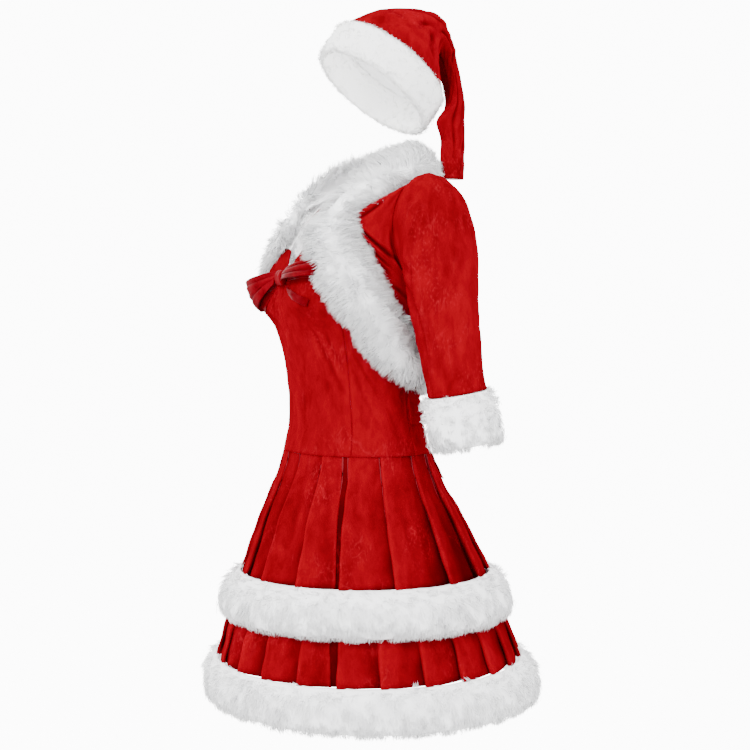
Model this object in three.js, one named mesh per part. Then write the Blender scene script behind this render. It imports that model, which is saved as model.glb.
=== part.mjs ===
// Christmas costume: a red velvet dress, a cropped bolero with long pile trim, and a folded hat.
// Units are millimetres, +Z is up and the wearer faces -Y, with the wearer's left at +X.
// The origin lies on the body's axis at shoulder level, where the wearer holds the costume up.
// Angles run round the body in degrees: 0 at the front, 90 at the wearer's left, 180 at the back.
import * as THREE from 'three';

const CLOTH = 2;
const SEAM = 0.3;
const HEM_Z = -440;
const HALF_SEAM_ANGLE = 0.1;
const PRINCESS_ANGLE = 53.5;
const SIDE_ANGLE = 108;

const BUST = { x: 75, z: -193, rise: 32, spread: 40, above: 58, below: 25 };
const TRIM = { base: 4, halfWidth: 33, height: 20 };
const BOLERO_LIFT = 8;
const SKIRT_FUR = { under: -3, proud: 18 };
const CUFF = { under: -4, proud: 9, length: 78 };

const UPPER_TIER = { top: HEM_Z - SEAM, hem: -625, pleatDepth: 10 };
const UPPER_FUR_HEM = -702;
const LOWER_TIER = { top: -628, hem: -770, pleatDepth: 8 };
const LOWER_FUR_HEM = -838;
const UNDERSKIRT_HEM = -640;

const HAT = { tilt: 36, halfWidth: 80, halfLength: 100, height: 60, plush: 10, y: 36, z: 152 };

const RED = { color: 0xb4060f, roughness: 0.75, metalness: 0 };
const BOW_RED = { color: 0xc00814, roughness: 0.5, metalness: 0 };
const WHITE = { color: 0xf0eeee, roughness: 0.95, metalness: 0 };

const rad = THREE.MathUtils.degToRad;
const lerp = THREE.MathUtils.lerp;
const vec = (x, y, z) => new THREE.Vector3(x, y, z);

// A table with named columns. It is read at any key, along a smooth curve through its rows.
function table(names, ...rows) {
  const slope = (column, i) => {
    const a = rows[Math.max(i - 1, 0)];
    const b = rows[Math.min(i + 1, rows.length - 1)];
    return (b[column] - a[column]) / (b[0] - a[0]);
  };
  return (key) => {
    let i = 0;
    while (i < rows.length - 2 && key > rows[i + 1][0]) i += 1;
    const step = rows[i + 1][0] - rows[i][0];
    const t = THREE.MathUtils.clamp((key - rows[i][0]) / step, 0, 1);
    const read = {};
    names.forEach((name, column) => {
      const a = rows[i][column];
      const b = rows[i + 1][column];
      const into = slope(column, i) * step;
      const outOf = slope(column, i + 1) * step;
      read[name] = (2 * t ** 3 - 3 * t ** 2 + 1) * a + (t ** 3 - 2 * t ** 2 + t) * into
        + (3 * t ** 2 - 2 * t ** 3) * b + (t ** 3 - t ** 2) * outOf;
    });
    return read;
  };
}

// The level sections of the bodice: half width, front, back and the line of greatest width.
const TORSO = table(['z', 'half', 'front', 'back', 'mid'],
  [-440, 137, -107, 121, 5],
  [-400, 131, -98, 108, 2],
  [-350, 126, -98, 101, 0],
  [-300, 126, -105, 101, 0],
  [-259, 128, -115, 106, 0],
  [-230, 132, -120, 112, 5],
  [-193, 138, -121, 120, 12],
  [-153, 144, -113, 127, 22],
  [-110, 147, -96, 130, 32],
  [-60, 150, -70, 131, 42],
  [-30, 150, -48, 131, 47]);

const UPPER_SKIRT = table(['z', 'half', 'front', 'back', 'mid'],
  [-710, 231, -206, 254, 23],
  [-665, 218, -194, 240, 22],
  [-625, 200, -178, 222, 22],
  [-577, 182, -161, 196, 18],
  [-538, 168, -147, 174, 14],
  [-500, 155, -129, 148, 10],
  [-460, 142, -112, 128, 7],
  [-440, 137, -107, 121, 5]);

const UNDERSKIRT = table(['z', 'half', 'front', 'back', 'mid'],
  [-640, 187, -164, 209, 22],
  [-628, 183.5, -161, 205.5, 22],
  [-580, 170, -148, 184, 18],
  [-540, 158, -136, 164, 14],
  [-500, 147, -121, 141, 10],
  [-460, 138.5, -108.5, 124, 7],
  [-440, 136.7, -106.7, 120.7, 5]);

const LOWER_SKIRT = table(['z', 'half', 'front', 'back', 'mid'],
  [-845, 265, -227, 300, 36],
  [-805, 256, -221, 290, 34],
  [-770, 249, -220, 278, 29],
  [-745, 240, -213, 268, 27],
  [-716, 229, -205, 255, 25],
  [-702, 219, -196, 243, 23],
  [-690, 213, -190, 236, 23],
  [-660, 197, -174, 219, 22],
  [-628, 184.2, -161.8, 206.2, 22]);

// The pleats of one side: where the fold line lies at the hem and how far it turns in.
const UPPER_PLEATS = [
  { angle: 10, deep: 1 }, { angle: 31, deep: 0.8 }, { angle: 52, deep: 1.2 }, { angle: 74, deep: 0.8 },
  { angle: 99, deep: 1.1 }, { angle: 124, deep: 1.2 }, { angle: 147, deep: 0.9 }, { angle: 170, deep: 1 },
];
const LOWER_PLEATS = [
  { angle: 8, deep: 0.9 }, { angle: 22, deep: 1.1 }, { angle: 37, deep: 0.8 }, { angle: 52, deep: 1.2 },
  { angle: 67, deep: 0.9 }, { angle: 83, deep: 1 }, { angle: 98, deep: 1.1 }, { angle: 112, deep: 0.8 },
  { angle: 127, deep: 1.1 }, { angle: 142, deep: 0.9 }, { angle: 157, deep: 1.1 }, { angle: 172, deep: 0.9 },
];
const PLEAT = { gentle: 8, steep: 3.2 };

function oval(section, angle, z) {
  const depth = Math.cos(rad(angle)) > 0 ? section.mid - section.front : section.back - section.mid;
  return vec(section.half * Math.sin(rad(angle)), section.mid - depth * Math.cos(rad(angle)), z);
}

function torso(angle, z) {
  const point = oval(TORSO(z), angle, z);
  const tall = z > BUST.z ? BUST.above : BUST.below;
  const side = (Math.abs(point.x) - BUST.x) / BUST.spread;
  const level = (z - BUST.z) / tall;
  if (Math.cos(rad(angle)) > 0) point.y -= BUST.rise * Math.exp(-(side * side + level * level) / 2);
  return point;
}

// The unit normal of a surface, with its first step crossed with its second.
function normalOf(surface, u, v, du = 0.5, dv = 0.5) {
  const across = surface(u + du, v).sub(surface(u - du, v));
  const along = surface(u, v + dv).sub(surface(u, v - dv));
  return across.cross(along).normalize();
}

function lift(surface, u, v, offset, du, dv) {
  return surface(u, v).addScaledVector(normalOf(surface, u, v, du, dv), offset);
}

// A closed solid from points and faces, turned so that its faces point outwards.
function solid(points, faces) {
  let volume = 0;
  for (const [a, b, c] of faces) volume += points[a].dot(points[b].clone().cross(points[c]));
  const geometry = new THREE.BufferGeometry();
  geometry.setAttribute('position', new THREE.Float32BufferAttribute(points.flatMap((p) => p.toArray()), 3));
  geometry.setIndex(faces.flatMap(([a, b, c]) => (volume > 0 ? [a, b, c] : [a, c, b])));
  geometry.computeVertexNormals();
  return geometry;
}

function quad(faces, a, b, c, d) {
  faces.push([a, b, c], [a, c, d]);
}

// A cloth wall between two grids of points, closed round its edges.
function wall(outer, inner, ring = false) {
  const columns = outer.length;
  const rows = outer[0].length;
  const points = [...outer.flat(), ...inner.flat()];
  const at = (side, i, j) => side * columns * rows + (i % columns) * rows + j;
  const faces = [];
  const spans = ring ? columns : columns - 1;
  for (let i = 0; i < spans; i += 1) {
    for (let j = 0; j < rows - 1; j += 1) {
      quad(faces, at(0, i, j), at(0, i + 1, j), at(0, i + 1, j + 1), at(0, i, j + 1));
      quad(faces, at(1, i, j), at(1, i, j + 1), at(1, i + 1, j + 1), at(1, i + 1, j));
    }
    quad(faces, at(0, i + 1, 0), at(0, i, 0), at(1, i, 0), at(1, i + 1, 0));
    quad(faces, at(0, i, rows - 1), at(0, i + 1, rows - 1), at(1, i + 1, rows - 1), at(1, i, rows - 1));
  }
  for (let j = 0; j < rows - 1 && !ring; j += 1) {
    const last = columns - 1;
    quad(faces, at(0, 0, j), at(0, 0, j + 1), at(1, 0, j + 1), at(1, 0, j));
    quad(faces, at(0, last, j + 1), at(0, last, j), at(1, last, j), at(1, last, j + 1));
  }
  return solid(points, faces);
}

// A cloth panel on a surface, from lists of its two parameters and its two offsets.
function panel(surface, across, along, offsets, { ring = false, du, dv } = {}) {
  const grid = (offset) => across.map((u) => along.map((v) => lift(surface, u, v, offset, du, dv)));
  return wall(grid(offsets[1]), grid(offsets[0]), ring);
}

// A cloth panel whose outer face is the surface. Its normals are read just inside its edges,
// apart from those that its seam shares with another panel.
function patch(surface, across, along, seamNormal) {
  const inside = (value, list, step) => THREE.MathUtils.clamp(value, list[0] + step, list[list.length - 1] - step);
  const step = 0.02;
  const normal = (u, v) => seamNormal?.(u, v)
    ?? normalOf(surface, inside(u, across, step), inside(v, along, step), step / 2, step / 2);
  const outer = across.map((u) => along.map((v) => surface(u, v)));
  const inner = across.map((u) => along.map((v) => surface(u, v).addScaledVector(normal(u, v), -CLOTH)));
  return wall(outer, inner);
}

// A full body through closed loops of points, with its ends capped or joined.
function loft(loops, joined = false) {
  const size = loops[0].length;
  const points = loops.flat();
  const faces = [];
  const spans = joined ? loops.length : loops.length - 1;
  for (let i = 0; i < spans; i += 1) {
    const a = i * size;
    const b = ((i + 1) % loops.length) * size;
    for (let k = 0; k < size; k += 1) {
      const next = (k + 1) % size;
      quad(faces, a + k, b + k, b + next, a + next);
    }
  }
  if (!joined) {
    const last = (loops.length - 1) * size;
    for (let k = 1; k < size - 1; k += 1) faces.push([0, k, k + 1], [last, last + k + 1, last + k]);
  }
  return solid(points, faces);
}

function spread(from, to, steps) {
  return Array.from({ length: steps + 1 }, (_, i) => lerp(from, to, i / steps));
}

function mirrored(geometry) {
  const position = geometry.getAttribute('position');
  const points = [];
  for (let i = 0; i < position.count; i += 1) {
    points.push(vec(-position.getX(i), position.getY(i), position.getZ(i)));
  }
  const index = geometry.getIndex().array;
  const faces = [];
  for (let i = 0; i < index.length; i += 3) faces.push([index[i], index[i + 1], index[i + 2]]);
  return solid(points, faces);
}

const costume = new THREE.Group();

function add(name, geometry, finish) {
  const mesh = new THREE.Mesh(geometry, new THREE.MeshStandardMaterial(finish));
  mesh.name = name;
  costume.add(mesh);
}

function addPair(name, geometry, finish) {
  add(`${name}_left`, geometry, finish);
  add(`${name}_right`, mirrored(geometry), finish);
}

// Bodice

const BODICE_TOP = table(['angle', 'z'],
  [0, -153], [3.5, -137], [7, -121], [9.5, -113], [20, -109], [30, -113], [42, -124],
  [53.5, -140], [75, -168], [108, -192], [145, -215], [180, -225]);

// The rows of a bodice panel from the hem to its top edge, closest together over the bust.
const BODICE_ROWS = [0, 0.2, 0.4, 0.52, 0.6, 0.68, 0.76, 0.84, 0.92, 1];
const BACK_STEPS = 14;
const BACK_ANGLES = spread(SIDE_ANGLE + HALF_SEAM_ANGLE, 360 - SIDE_ANGLE - HALF_SEAM_ANGLE, BACK_STEPS);

function bodicePanel(angles) {
  const grid = (offset) => angles.map((angle) => BODICE_ROWS.map((share) => {
    const z = lerp(HEM_Z, BODICE_TOP(Math.abs(angle > 180 ? 360 - angle : angle)).z, share);
    return lift(torso, angle, z, offset);
  }));
  return wall(grid(CLOTH), grid(0));
}

function buildBodice() {
  const edge = PRINCESS_ANGLE - HALF_SEAM_ANGLE;
  const half = [3.5, 7, 9.5, 14.5, 20, 25, 30, 36, 42, 48, edge];
  add('bodice_front', bodicePanel([...half.map((a) => -a).reverse(), 0, ...half]), RED);
  const side = spread(PRINCESS_ANGLE + HALF_SEAM_ANGLE, SIDE_ANGLE - HALF_SEAM_ANGLE, 7);
  addPair('bodice_side', bodicePanel(side), RED);
  add('bodice_back', bodicePanel(BACK_ANGLES), RED);
}

// The straps run from the cups to the nape. Each row gives the strap's neck edge and outer edge.
const STRAP = table(['t', 'ix', 'iy', 'iz', 'ox', 'oy', 'oz'],
  [0.18, 36, -76, -74, 68, -70, -80],
  [0.38, 52, -30, -36, 80, -26, -44],
  [0.58, 58, 20, -6, 82, 24, -13],
  [0.76, 50, 66, 14, 66, 77, 8],
  [0.9, 27, 96, 26, 34, 108, 14],
  [1, SEAM / 2, 104, 30, SEAM / 2, 116, 16]);

function strap(u, t) {
  const upper = STRAP(Math.max(t, 0.18));
  const high = vec(lerp(upper.ix, upper.ox, u), lerp(upper.iy, upper.oy, u), lerp(upper.iz, upper.oz, u));
  if (t >= 0.18) return high;
  const angle = lerp(9.8, 29.7, u);
  return torso(angle, BODICE_TOP(angle).z + SEAM).lerp(high, t / 0.18);
}

function buildStraps() {
  const across = [9.8, 14.5, 20, 25, 29.7].map((angle) => (angle - 9.8) / 19.9);
  const along = [0, 0.09, ...spread(0.18, 1, 7)];
  const grid = (offset) => across.map((u) => along.map((t) => {
    const v = THREE.MathUtils.clamp(t, 0.03, 0.97);
    return strap(u, t).addScaledVector(normalOf(strap, u, v, 0.02, 0.02), offset);
  }));
  addPair('halter_strap', wall(grid(CLOTH), grid(0)), RED);
}

// Bust bow: each loop is one folded ribbon and each tail a flat one, held by the knot.

const BOW = { z: -158, knotHalf: 11, rootAngle: 6.3, mmPerDegree: 2.3 };
const BOW_SIDES = [
  { name: 'left', side: 1, tip: 31, tipZ: -153, half: 11, out: 0, tail: 34, tailZ: -192, tailHalf: 11 },
  { name: 'right', side: -1, tip: 27, tipZ: -166, half: 19, out: 9, tail: 30, tailZ: -208, tailHalf: 15 },
];
const RIBBON = table(['t', 's', 'height', 'spread'],
  [0, 0, 2.8, 0.5], [0.2, 0.42, 3.4, 0.75], [0.38, 0.85, 4.4, 1], [0.46, 0.97, 7, 1], [0.54, 1, 11, 1],
  [0.62, 0.97, 16, 1], [0.74, 0.8, 19, 0.95], [0.88, 0.4, 18, 0.75], [1, 0, 12, 0.5]);
const TAIL = table(['t', 'height', 'spread'], [0, 2.6, 0.5], [0.4, 2.8, 0.8], [0.75, 3.4, 1], [1, 4.2, 1]);

function buildBow() {
  for (const { name, side, tip, tipZ, half, out, tail, tailZ, tailHalf } of BOW_SIDES) {
    const loop = (v, t) => {
      const { s, height, spread: wide } = RIBBON(t);
      const z = lerp(BOW.z, tipZ, s) + v * half * wide;
      return lift(torso, lerp(BOW.rootAngle, tip, s), z, height + out * Math.sin(s * Math.PI / 2));
    };
    const turned = (geometry) => (side > 0 ? geometry : mirrored(geometry));
    const steps = [0, 0.2, 0.38, 0.46, 0.54, 0.62, 0.74, 0.88, 1];
    add(`bow_loop_${name}`, turned(patch(loop, [-1, 0, 1], steps)), BOW_RED);
    const run = vec((tail - BOW.rootAngle) * BOW.mmPerDegree, 0, tailZ - BOW.z + 6);
    const across = vec(-run.z, 0, run.x).normalize();
    const flat = (v, t) => {
      const { height, spread: wide } = TAIL(t);
      const shift = v * tailHalf * wide * THREE.MathUtils.smoothstep(t, -0.2, 0.5);
      const angle = lerp(BOW.rootAngle, tail, t) + across.x * shift / BOW.mmPerDegree;
      return lift(torso, Math.max(angle, BOW.rootAngle), lerp(BOW.z - 12, tailZ, t) + across.z * shift, height);
    };
    add(`bow_tail_${name}`, turned(patch(flat, [-1, 0, 1], spread(0, 1, 6))), BOW_RED);
  }
  add('bow_knot', knot(vec(0, -131.5, BOW.z), vec(BOW.knotHalf, 8, 13)), BOW_RED);
}

// A rounded knot, built of rings across it.
function knot(centre, half) {
  const rings = [[-1, 0.6], [-0.8, 0.9], [-0.3, 0.95], [0.3, 0.95], [0.8, 0.9], [1, 0.6]];
  return loft(rings.map(([x, size]) => spread(0, 330, 11).map((a) => centre.clone().add(
    vec(x * half.x, size * half.y * Math.cos(rad(a)), size * half.z * Math.sin(rad(a)))))));
}

// Back sash: a tie from each side seam, the knot in the middle of the back and the two hanging ends.

const SASH = { z: -386, knotY: 119.5, half: { x: 16, y: 12, z: 15 } };
const TIE_HEIGHT = CLOTH * 2 + 1.1;
const TIE = table(['angle', 'z', 'half'], [108.6, -364, 28], [126, -371, 21], [148, -381, 15], [172.4, -386, 11]);
const TIE_ANGLES = [108.6, ...BACK_ANGLES.filter((angle) => angle > 109 && angle < 172), 172.4];
const TIE_END = table(['t', 'angle', 'z', 'half', 'height'],
  [0, 175.4, -405, 8, 8], [0.3, 172.5, -426, 12, 7], [0.6, 167.5, -450, 14, 7], [1, 160.5, -487, 15, 6]);

function lowerBody(angle, z) {
  return z > HEM_Z ? torso(angle, z) : oval(UPPER_SKIRT(z), angle, z);
}

function buildSash() {
  const tie = (angle, v) => lift(torso, angle, TIE(angle).z + v * TIE(angle).half, TIE_HEIGHT);
  addPair('sash_tie', patch(tie, TIE_ANGLES, [-1, -0.33, 0.33, 1]), RED);
  const end = (v, t) => {
    const row = TIE_END(t);
    return lift(lowerBody, row.angle - v * row.half / BOW.mmPerDegree, row.z - v * 3, row.height);
  };
  addPair('sash_end', patch(end, [-1, 0, 1], spread(0, 1, 6)), RED);
  add('sash_knot', knot(vec(0, SASH.knotY, SASH.z), vec(SASH.half.x, SASH.half.y, SASH.half.z)), RED);
}

// Skirt

// How far the pleats turn the cloth in at an angle, from 0 on the faces to 1 in a fold.
function pleatWave(pleats, angle) {
  const a = Math.abs(((angle + 180) % 360 + 360) % 360 - 180);
  let turn = 0;
  for (const { angle: fold, deep } of pleats) {
    for (const [from, place] of [[fold, a], [fold, -a], [360 - fold, a]]) {
      const away = place - from;
      const width = away < 0 ? PLEAT.gentle : PLEAT.steep;
      turn = Math.max(turn, deep * Math.max(0, 1 - Math.abs(away) / width));
    }
  }
  return turn * turn * (3 - Math.min(2 * turn, 2)) / 1.3;
}

function pleated(sections, tier, pleats) {
  return (angle, z) => {
    const fall = THREE.MathUtils.clamp((tier.top - z) / (tier.top - tier.hem), 0, 1);
    const point = oval(sections(z), angle, z);
    const inward = vec(-Math.sin(rad(angle)), Math.cos(rad(angle)), 0);
    return point.addScaledVector(inward, tier.pleatDepth * fall * pleatWave(pleats, angle));
  };
}

// The angles at which a pleated tier is drawn: each fold, the ends of its slopes and its face between.
function pleatColumns(pleats, faceSteps, slopes = true) {
  const folds = [...pleats.map((p) => -p.angle).reverse(), ...pleats.map((p) => p.angle)];
  return folds.flatMap((fold, i) => {
    const next = i + 1 < folds.length ? folds[i + 1] : folds[0] + 360;
    const leave = fold > 0 ? PLEAT.steep : PLEAT.gentle;
    const enter = next > 0 && next < 180 ? PLEAT.gentle : PLEAT.steep;
    const face = spread(fold + leave, next - enter, faceSteps);
    return slopes ? [fold, fold + leave * 0.55, ...face, next - enter * 0.55] : [fold, ...face];
  });
}

function furHem(surface, columns, top, hem, { under, proud }) {
  const drop = hem - top;
  const profile = [
    [under / 2, 0], [6, 0], [proud * 0.82, 0.14], [proud, 0.45], [proud * 0.86, 0.82],
    [proud * 0.3, 1], [under / 2, 0.97], [under, 0.5],
  ];
  const level = (angle, z) => surface(angle, z);
  return loft(columns.map((angle) => profile.map(([offset, share]) => {
    const z = top + drop * share;
    const point = level(angle, z);
    const outward = vec(Math.sin(rad(angle)), -Math.cos(rad(angle)), 0);
    return point.addScaledVector(outward, offset);
  })), true);
}

function buildSkirt() {
  const upper = pleated(UPPER_SKIRT, UPPER_TIER, UPPER_PLEATS);
  const lower = pleated(LOWER_SKIRT, LOWER_TIER, LOWER_PLEATS);
  const upperColumns = pleatColumns(UPPER_PLEATS, 2);
  const lowerColumns = pleatColumns(LOWER_PLEATS, 1);
  add('skirt_upper', panel(upper, upperColumns, [UPPER_TIER.hem, -575, -525, -475, UPPER_TIER.top],
    [0, CLOTH], { ring: true }), RED);
  const under = (angle, z) => oval(UNDERSKIRT(z), angle, z);
  add('underskirt', panel(under, spread(0, 348, 29), [UNDERSKIRT_HEM, -575, -505, UPPER_TIER.top], [-CLOTH, 0],
    { ring: true }), RED);
  add('skirt_lower', panel(lower, lowerColumns, [LOWER_TIER.hem, -730, -690, LOWER_TIER.top],
    [0, CLOTH], { ring: true }), RED);
  const softUpper = pleated(UPPER_SKIRT, { ...UPPER_TIER, pleatDepth: 6 }, UPPER_PLEATS);
  const softLower = pleated(LOWER_SKIRT, { ...LOWER_TIER, pleatDepth: 5 }, LOWER_PLEATS);
  add('fur_hem_upper', furHem(softUpper, pleatColumns(UPPER_PLEATS, 2, false), UPPER_TIER.hem - SEAM,
    UPPER_FUR_HEM, SKIRT_FUR), WHITE);
  add('fur_hem_lower', furHem(softLower, pleatColumns(LOWER_PLEATS, 1, false), LOWER_TIER.hem - SEAM,
    LOWER_FUR_HEM, SKIRT_FUR), WHITE);
}

// Bolero trim: one strip of fur from the nape, down the front, under the arm and round the back.

const COLLAR = table(['s', 'x', 'y', 'z', 'nx', 'ny', 'nz'],
  [0, 0, 124, 36, 0, 0.8, 0.6],
  [0.2, 36, 112, 33, 0.3, 0.72, 0.62],
  [0.4, 66, 84, 24, 0.52, 0.5, 0.69],
  [0.6, 86, 42, 10, 0.62, 0.1, 0.78],
  [0.8, 92, -8, -14, 0.55, -0.35, 0.76],
  [0.92, 84, -50, -44, 0.45, -0.65, 0.61],
  [1, 69, -76, -74, 0.4, -0.83, 0.38]);

const BAND = table(['s', 'angle', 'z'],
  [1, 27, -76], [1.15, 35, -102], [1.3, 44.5, -128], [1.45, 56, -161], [1.6, 66.5, -193],
  [1.75, 76, -228], [1.9, 89, -264], [2, 104, -285], [2.2, 125, -296], [2.5, 150, -303], [3, 180, -306],
  [3.2, 200, -304]);

// A point of the trim that lies on the body, from 1 at the collar's end to 3 at the middle of the back.
function bandPoint(s, side, height) {
  const row = BAND(s);
  const ahead = BAND(s + 0.02);
  const here = torso(row.angle, row.z);
  const along = torso(ahead.angle, ahead.z).sub(here).normalize();
  const outward = normalOf(torso, row.angle, row.z).cross(along).normalize();
  const turnStep = torso(row.angle + 1, row.z).sub(here);
  const turn = outward.dot(turnStep) / turnStep.lengthSq();
  return lift(torso, row.angle + turn * side, row.z + outward.z * side, TRIM.base + height);
}

// A point of the trim that stands round the neck, from 0 at the nape to 1 at the collar's end.
function collarPoint(s, side, height) {
  const at = (k) => vec(COLLAR(k).x, COLLAR(k).y, COLLAR(k).z);
  const row = COLLAR(s);
  const normal = vec(row.nx, row.ny, row.nz).normalize();
  const along = s < 0.01 ? vec(1, 0, 0) : at(Math.min(s + 0.02, 1)).sub(at(s - 0.02)).normalize();
  const outward = normal.clone().cross(along).normalize();
  const point = at(s).addScaledVector(outward, side).addScaledVector(normal, height);
  const end = bandPoint(1, side, height).add(at(s)).sub(at(1));
  return point.lerp(end, THREE.MathUtils.smoothstep(s, 0.8, 1));
}

// Across the trim, -1 is its edge at the wearer and 1 its edge at the cloth.
function trim(s, across, height) {
  const side = across * TRIM.halfWidth;
  return s < 1 ? collarPoint(s, side, height) : bandPoint(s, side, height);
}

const TRIM_PROFILE = [[-1, 0], [-1, 0.35], [-0.72, 0.8], [-0.25, 1], [0.25, 1], [0.72, 0.8], [1, 0.45], [1, 0],
  [0.5, 0], [0, 0], [-0.5, 0]];
const TRIM_SEAM = 0.002;

// Down the bolero's side line the shoulder seam, the armhole and the side seam follow each other.
const SHOULDER_SHARE = 0.12;
const ARMPIT_SHARE = 0.62;
const BOLERO_ROWS = [0, SHOULDER_SHARE / 2, ...spread(SHOULDER_SHARE, ARMPIT_SHARE, 12),
  ...spread(ARMPIT_SHARE, 1, 4).slice(1)];
const BACK_COLUMNS = 6;
const ARMHOLE_GAP = 0.8;
const SHOULDER_GAP = 1.2;

// The places along the trim where the shoulder seam and the side seam meet it.
const NECK_SHARE = 0.55;
const NECK_CORNER = 0.01;
const SIDE_STOP = 1.92;
const FRONT_EDGE = table(['v', 's', 'bulge'],
  [0, 0.55, 0], [0.12, 0.66, 1.5], [0.3, 0.98, 7], [0.42, 1.14, 8], [0.52, 1.28, 5],
  [0.62, 1.44, 1], [0.8, 1.66, 1], [1, 1.86, 0]);

function trimLoop(s) {
  return TRIM_PROFILE.map(([across, up]) => trim(s, across, up * TRIM.height));
}

function buildTrim() {
  const flip = (loops) => loops.map((loop) => loop.map((p) => vec(-p.x, p.y, p.z)));
  const frontStops = BOLERO_ROWS.map((v) => FRONT_EDGE(v).s).filter((s) => s > NECK_SHARE);
  const backStops = spread(0, NECK_SHARE, BACK_COLUMNS).slice(1);
  const collar = [...backStops, ...frontStops.filter((s) => s < 1 - TRIM_SEAM), 1 - TRIM_SEAM].map(trimLoop);
  add('fur_collar', loft([...flip(collar).reverse(), trimLoop(0), ...collar]), WHITE);
  const front = [1 + TRIM_SEAM, ...frontStops.filter((s) => s > 1 + TRIM_SEAM), SIDE_STOP, 2 - TRIM_SEAM];
  addPair('fur_band', loft(front.map(trimLoop)), WHITE);
  const hem = spread(SIDE_STOP, 3, BACK_COLUMNS).slice(1, -1).filter((s) => s > 2 + TRIM_SEAM);
  const back = [2 + TRIM_SEAM, ...hem].map(trimLoop);
  add('fur_band_back', loft([...back, trimLoop(3), ...flip(back).reverse()]), WHITE);
}

// Sleeves: each row gives a ring by its outer and inner point, its middle in Y and its half width in Y.
const SLEEVE = table(['t', 'ox', 'oz', 'ix', 'iz', 'y', 'ry', 'lean'],
  [0, 140, -6, 148, -164, 42, 49, 0],
  [0.09, 166, 3, 150, -171, 47, 57, 0],
  [0.2, 196, -12, 151, -180, 51, 61, 0.02],
  [0.32, 215, -45, 150, -190, 54, 62, 0.05],
  [0.45, 226, -92, 147, -204, 57, 61, 0.08],
  [0.6, 233, -150, 144, -226, 60, 58, 0.1],
  [0.75, 238, -220, 144, -254, 65, 53, 0.14],
  [0.88, 242, -285, 150, -300, 71, 49, 0.16],
  [1, 246, -336, 156, -342, 76.5, 46, 0.16],
  [1.3, 258, -418, 168, -424, 88, 48, 0.16]);
const SLEEVE_FOLDS = [
  { around: 262, from: 0.35, deep: 5, width: 16 },
  { around: 305, from: 0.3, deep: 4, width: 14 },
  { around: 60, from: 0.5, deep: 4, width: 16 },
  { around: 215, from: 0.4, deep: 4, width: 15 },
];

// A sleeve point: 0 degrees is the outer side, 90 the back, 180 the inner side and 270 the front.
function sleeve(around, t) {
  const row = SLEEVE(t);
  const share = (1 + Math.cos(rad(around))) / 2;
  const y = row.ry * Math.sin(rad(around));
  let fold = 0;
  for (const { around: place, from, deep, width } of SLEEVE_FOLDS) {
    const away = (around - place) / width;
    const grow = THREE.MathUtils.smoothstep(t, from, from + 0.2) * (1 - THREE.MathUtils.smoothstep(t, 0.9, 1.02));
    fold += deep * grow * Math.exp(-away * away);
  }
  const shrink = 1 - fold / row.ry;
  const x = lerp((row.ox + row.ix) / 2, lerp(row.ix, row.ox, share), shrink);
  return vec(x, row.y + y * shrink, lerp(row.iz, row.oz, share) + row.lean * y);
}

function buildSleeves() {
  const around = spread(0, 345, 23);
  const along = [0, 0.045, 0.09, 0.2, 0.32, 0.45, 0.6, 0.8, 1];
  const surface = (u, v) => sleeve(u, 1 - v);
  const steps = along.map((t) => 1 - t).reverse();
  addPair('sleeve', panel(surface, around, steps, [-CLOTH, 0], { ring: true, du: 3, dv: 0.01 }), RED);
  const slope = 82 / 0.3;
  const level = (share) => 1 + (SEAM + 0.4 + CUFF.length * share) / slope;
  const profile = [[CUFF.under / 2, 0], [5, 0], [CUFF.proud, 0.15], [CUFF.proud + 1, 0.5], [CUFF.proud, 0.86],
    [3, 1], [CUFF.under / 2, 0.98], [CUFF.under, 0.5]];
  addPair('fur_cuff', loft(around.map((u) => profile.map(([offset, share]) => {
    const outward = vec(Math.cos(rad(u)), Math.sin(rad(u)), 0);
    return sleeve(u, level(share)).addScaledVector(outward, offset);
  })), true), WHITE);
}

// Bolero body

const BACK_LINE = table(['v', 'y', 'z'],
  [0, 143, 9], [0.15, 143, -28], [0.35, 141, -85], [0.55, 137, -140], [0.75, 127, -195], [1, 110, -268]);

function clothEdge(s) {
  const clear = s < 1 ? 1.9 : 0.8;
  return trim(s, 1 + clear / TRIM.halfWidth, BOLERO_LIFT - TRIM.base);
}

// The line where front and back meet the shoulder seam, the armhole and the side seam in turn.
function sideLine(v, front) {
  const step = front ? -SHOULDER_GAP : SHOULDER_GAP;
  if (v <= SHOULDER_SHARE) {
    const start = clothEdge(NECK_SHARE);
    const end = sleeve(0, 0).add(vec(-ARMHOLE_GAP, 0, 0));
    return start.lerp(end, v / SHOULDER_SHARE).add(vec(0, step / 2, 0));
  }
  if (v <= ARMPIT_SHARE) {
    const turn = 180 * (v - SHOULDER_SHARE) / (ARMPIT_SHARE - SHOULDER_SHARE);
    return sleeve(front ? 360 - turn : turn, 0).add(vec(-ARMHOLE_GAP, step / 2, 0));
  }
  const share = (v - ARMPIT_SHARE) / (1 - ARMPIT_SHARE);
  const armpit = sleeve(180, 0).add(vec(-ARMHOLE_GAP, step / 2, 0));
  return armpit.lerp(clothEdge(SIDE_STOP + step * 0.005), share);
}

function boleroFront(u, v) {
  const { s, bulge } = FRONT_EDGE(v);
  const edge = clothEdge(s);
  const side = sideLine(v, true);
  const outward = vec(side.x + edge.x, side.y + edge.y - 80, 60).normalize();
  return edge.lerp(side, u).addScaledVector(outward, bulge * 4 * u * (1 - u));
}

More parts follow.
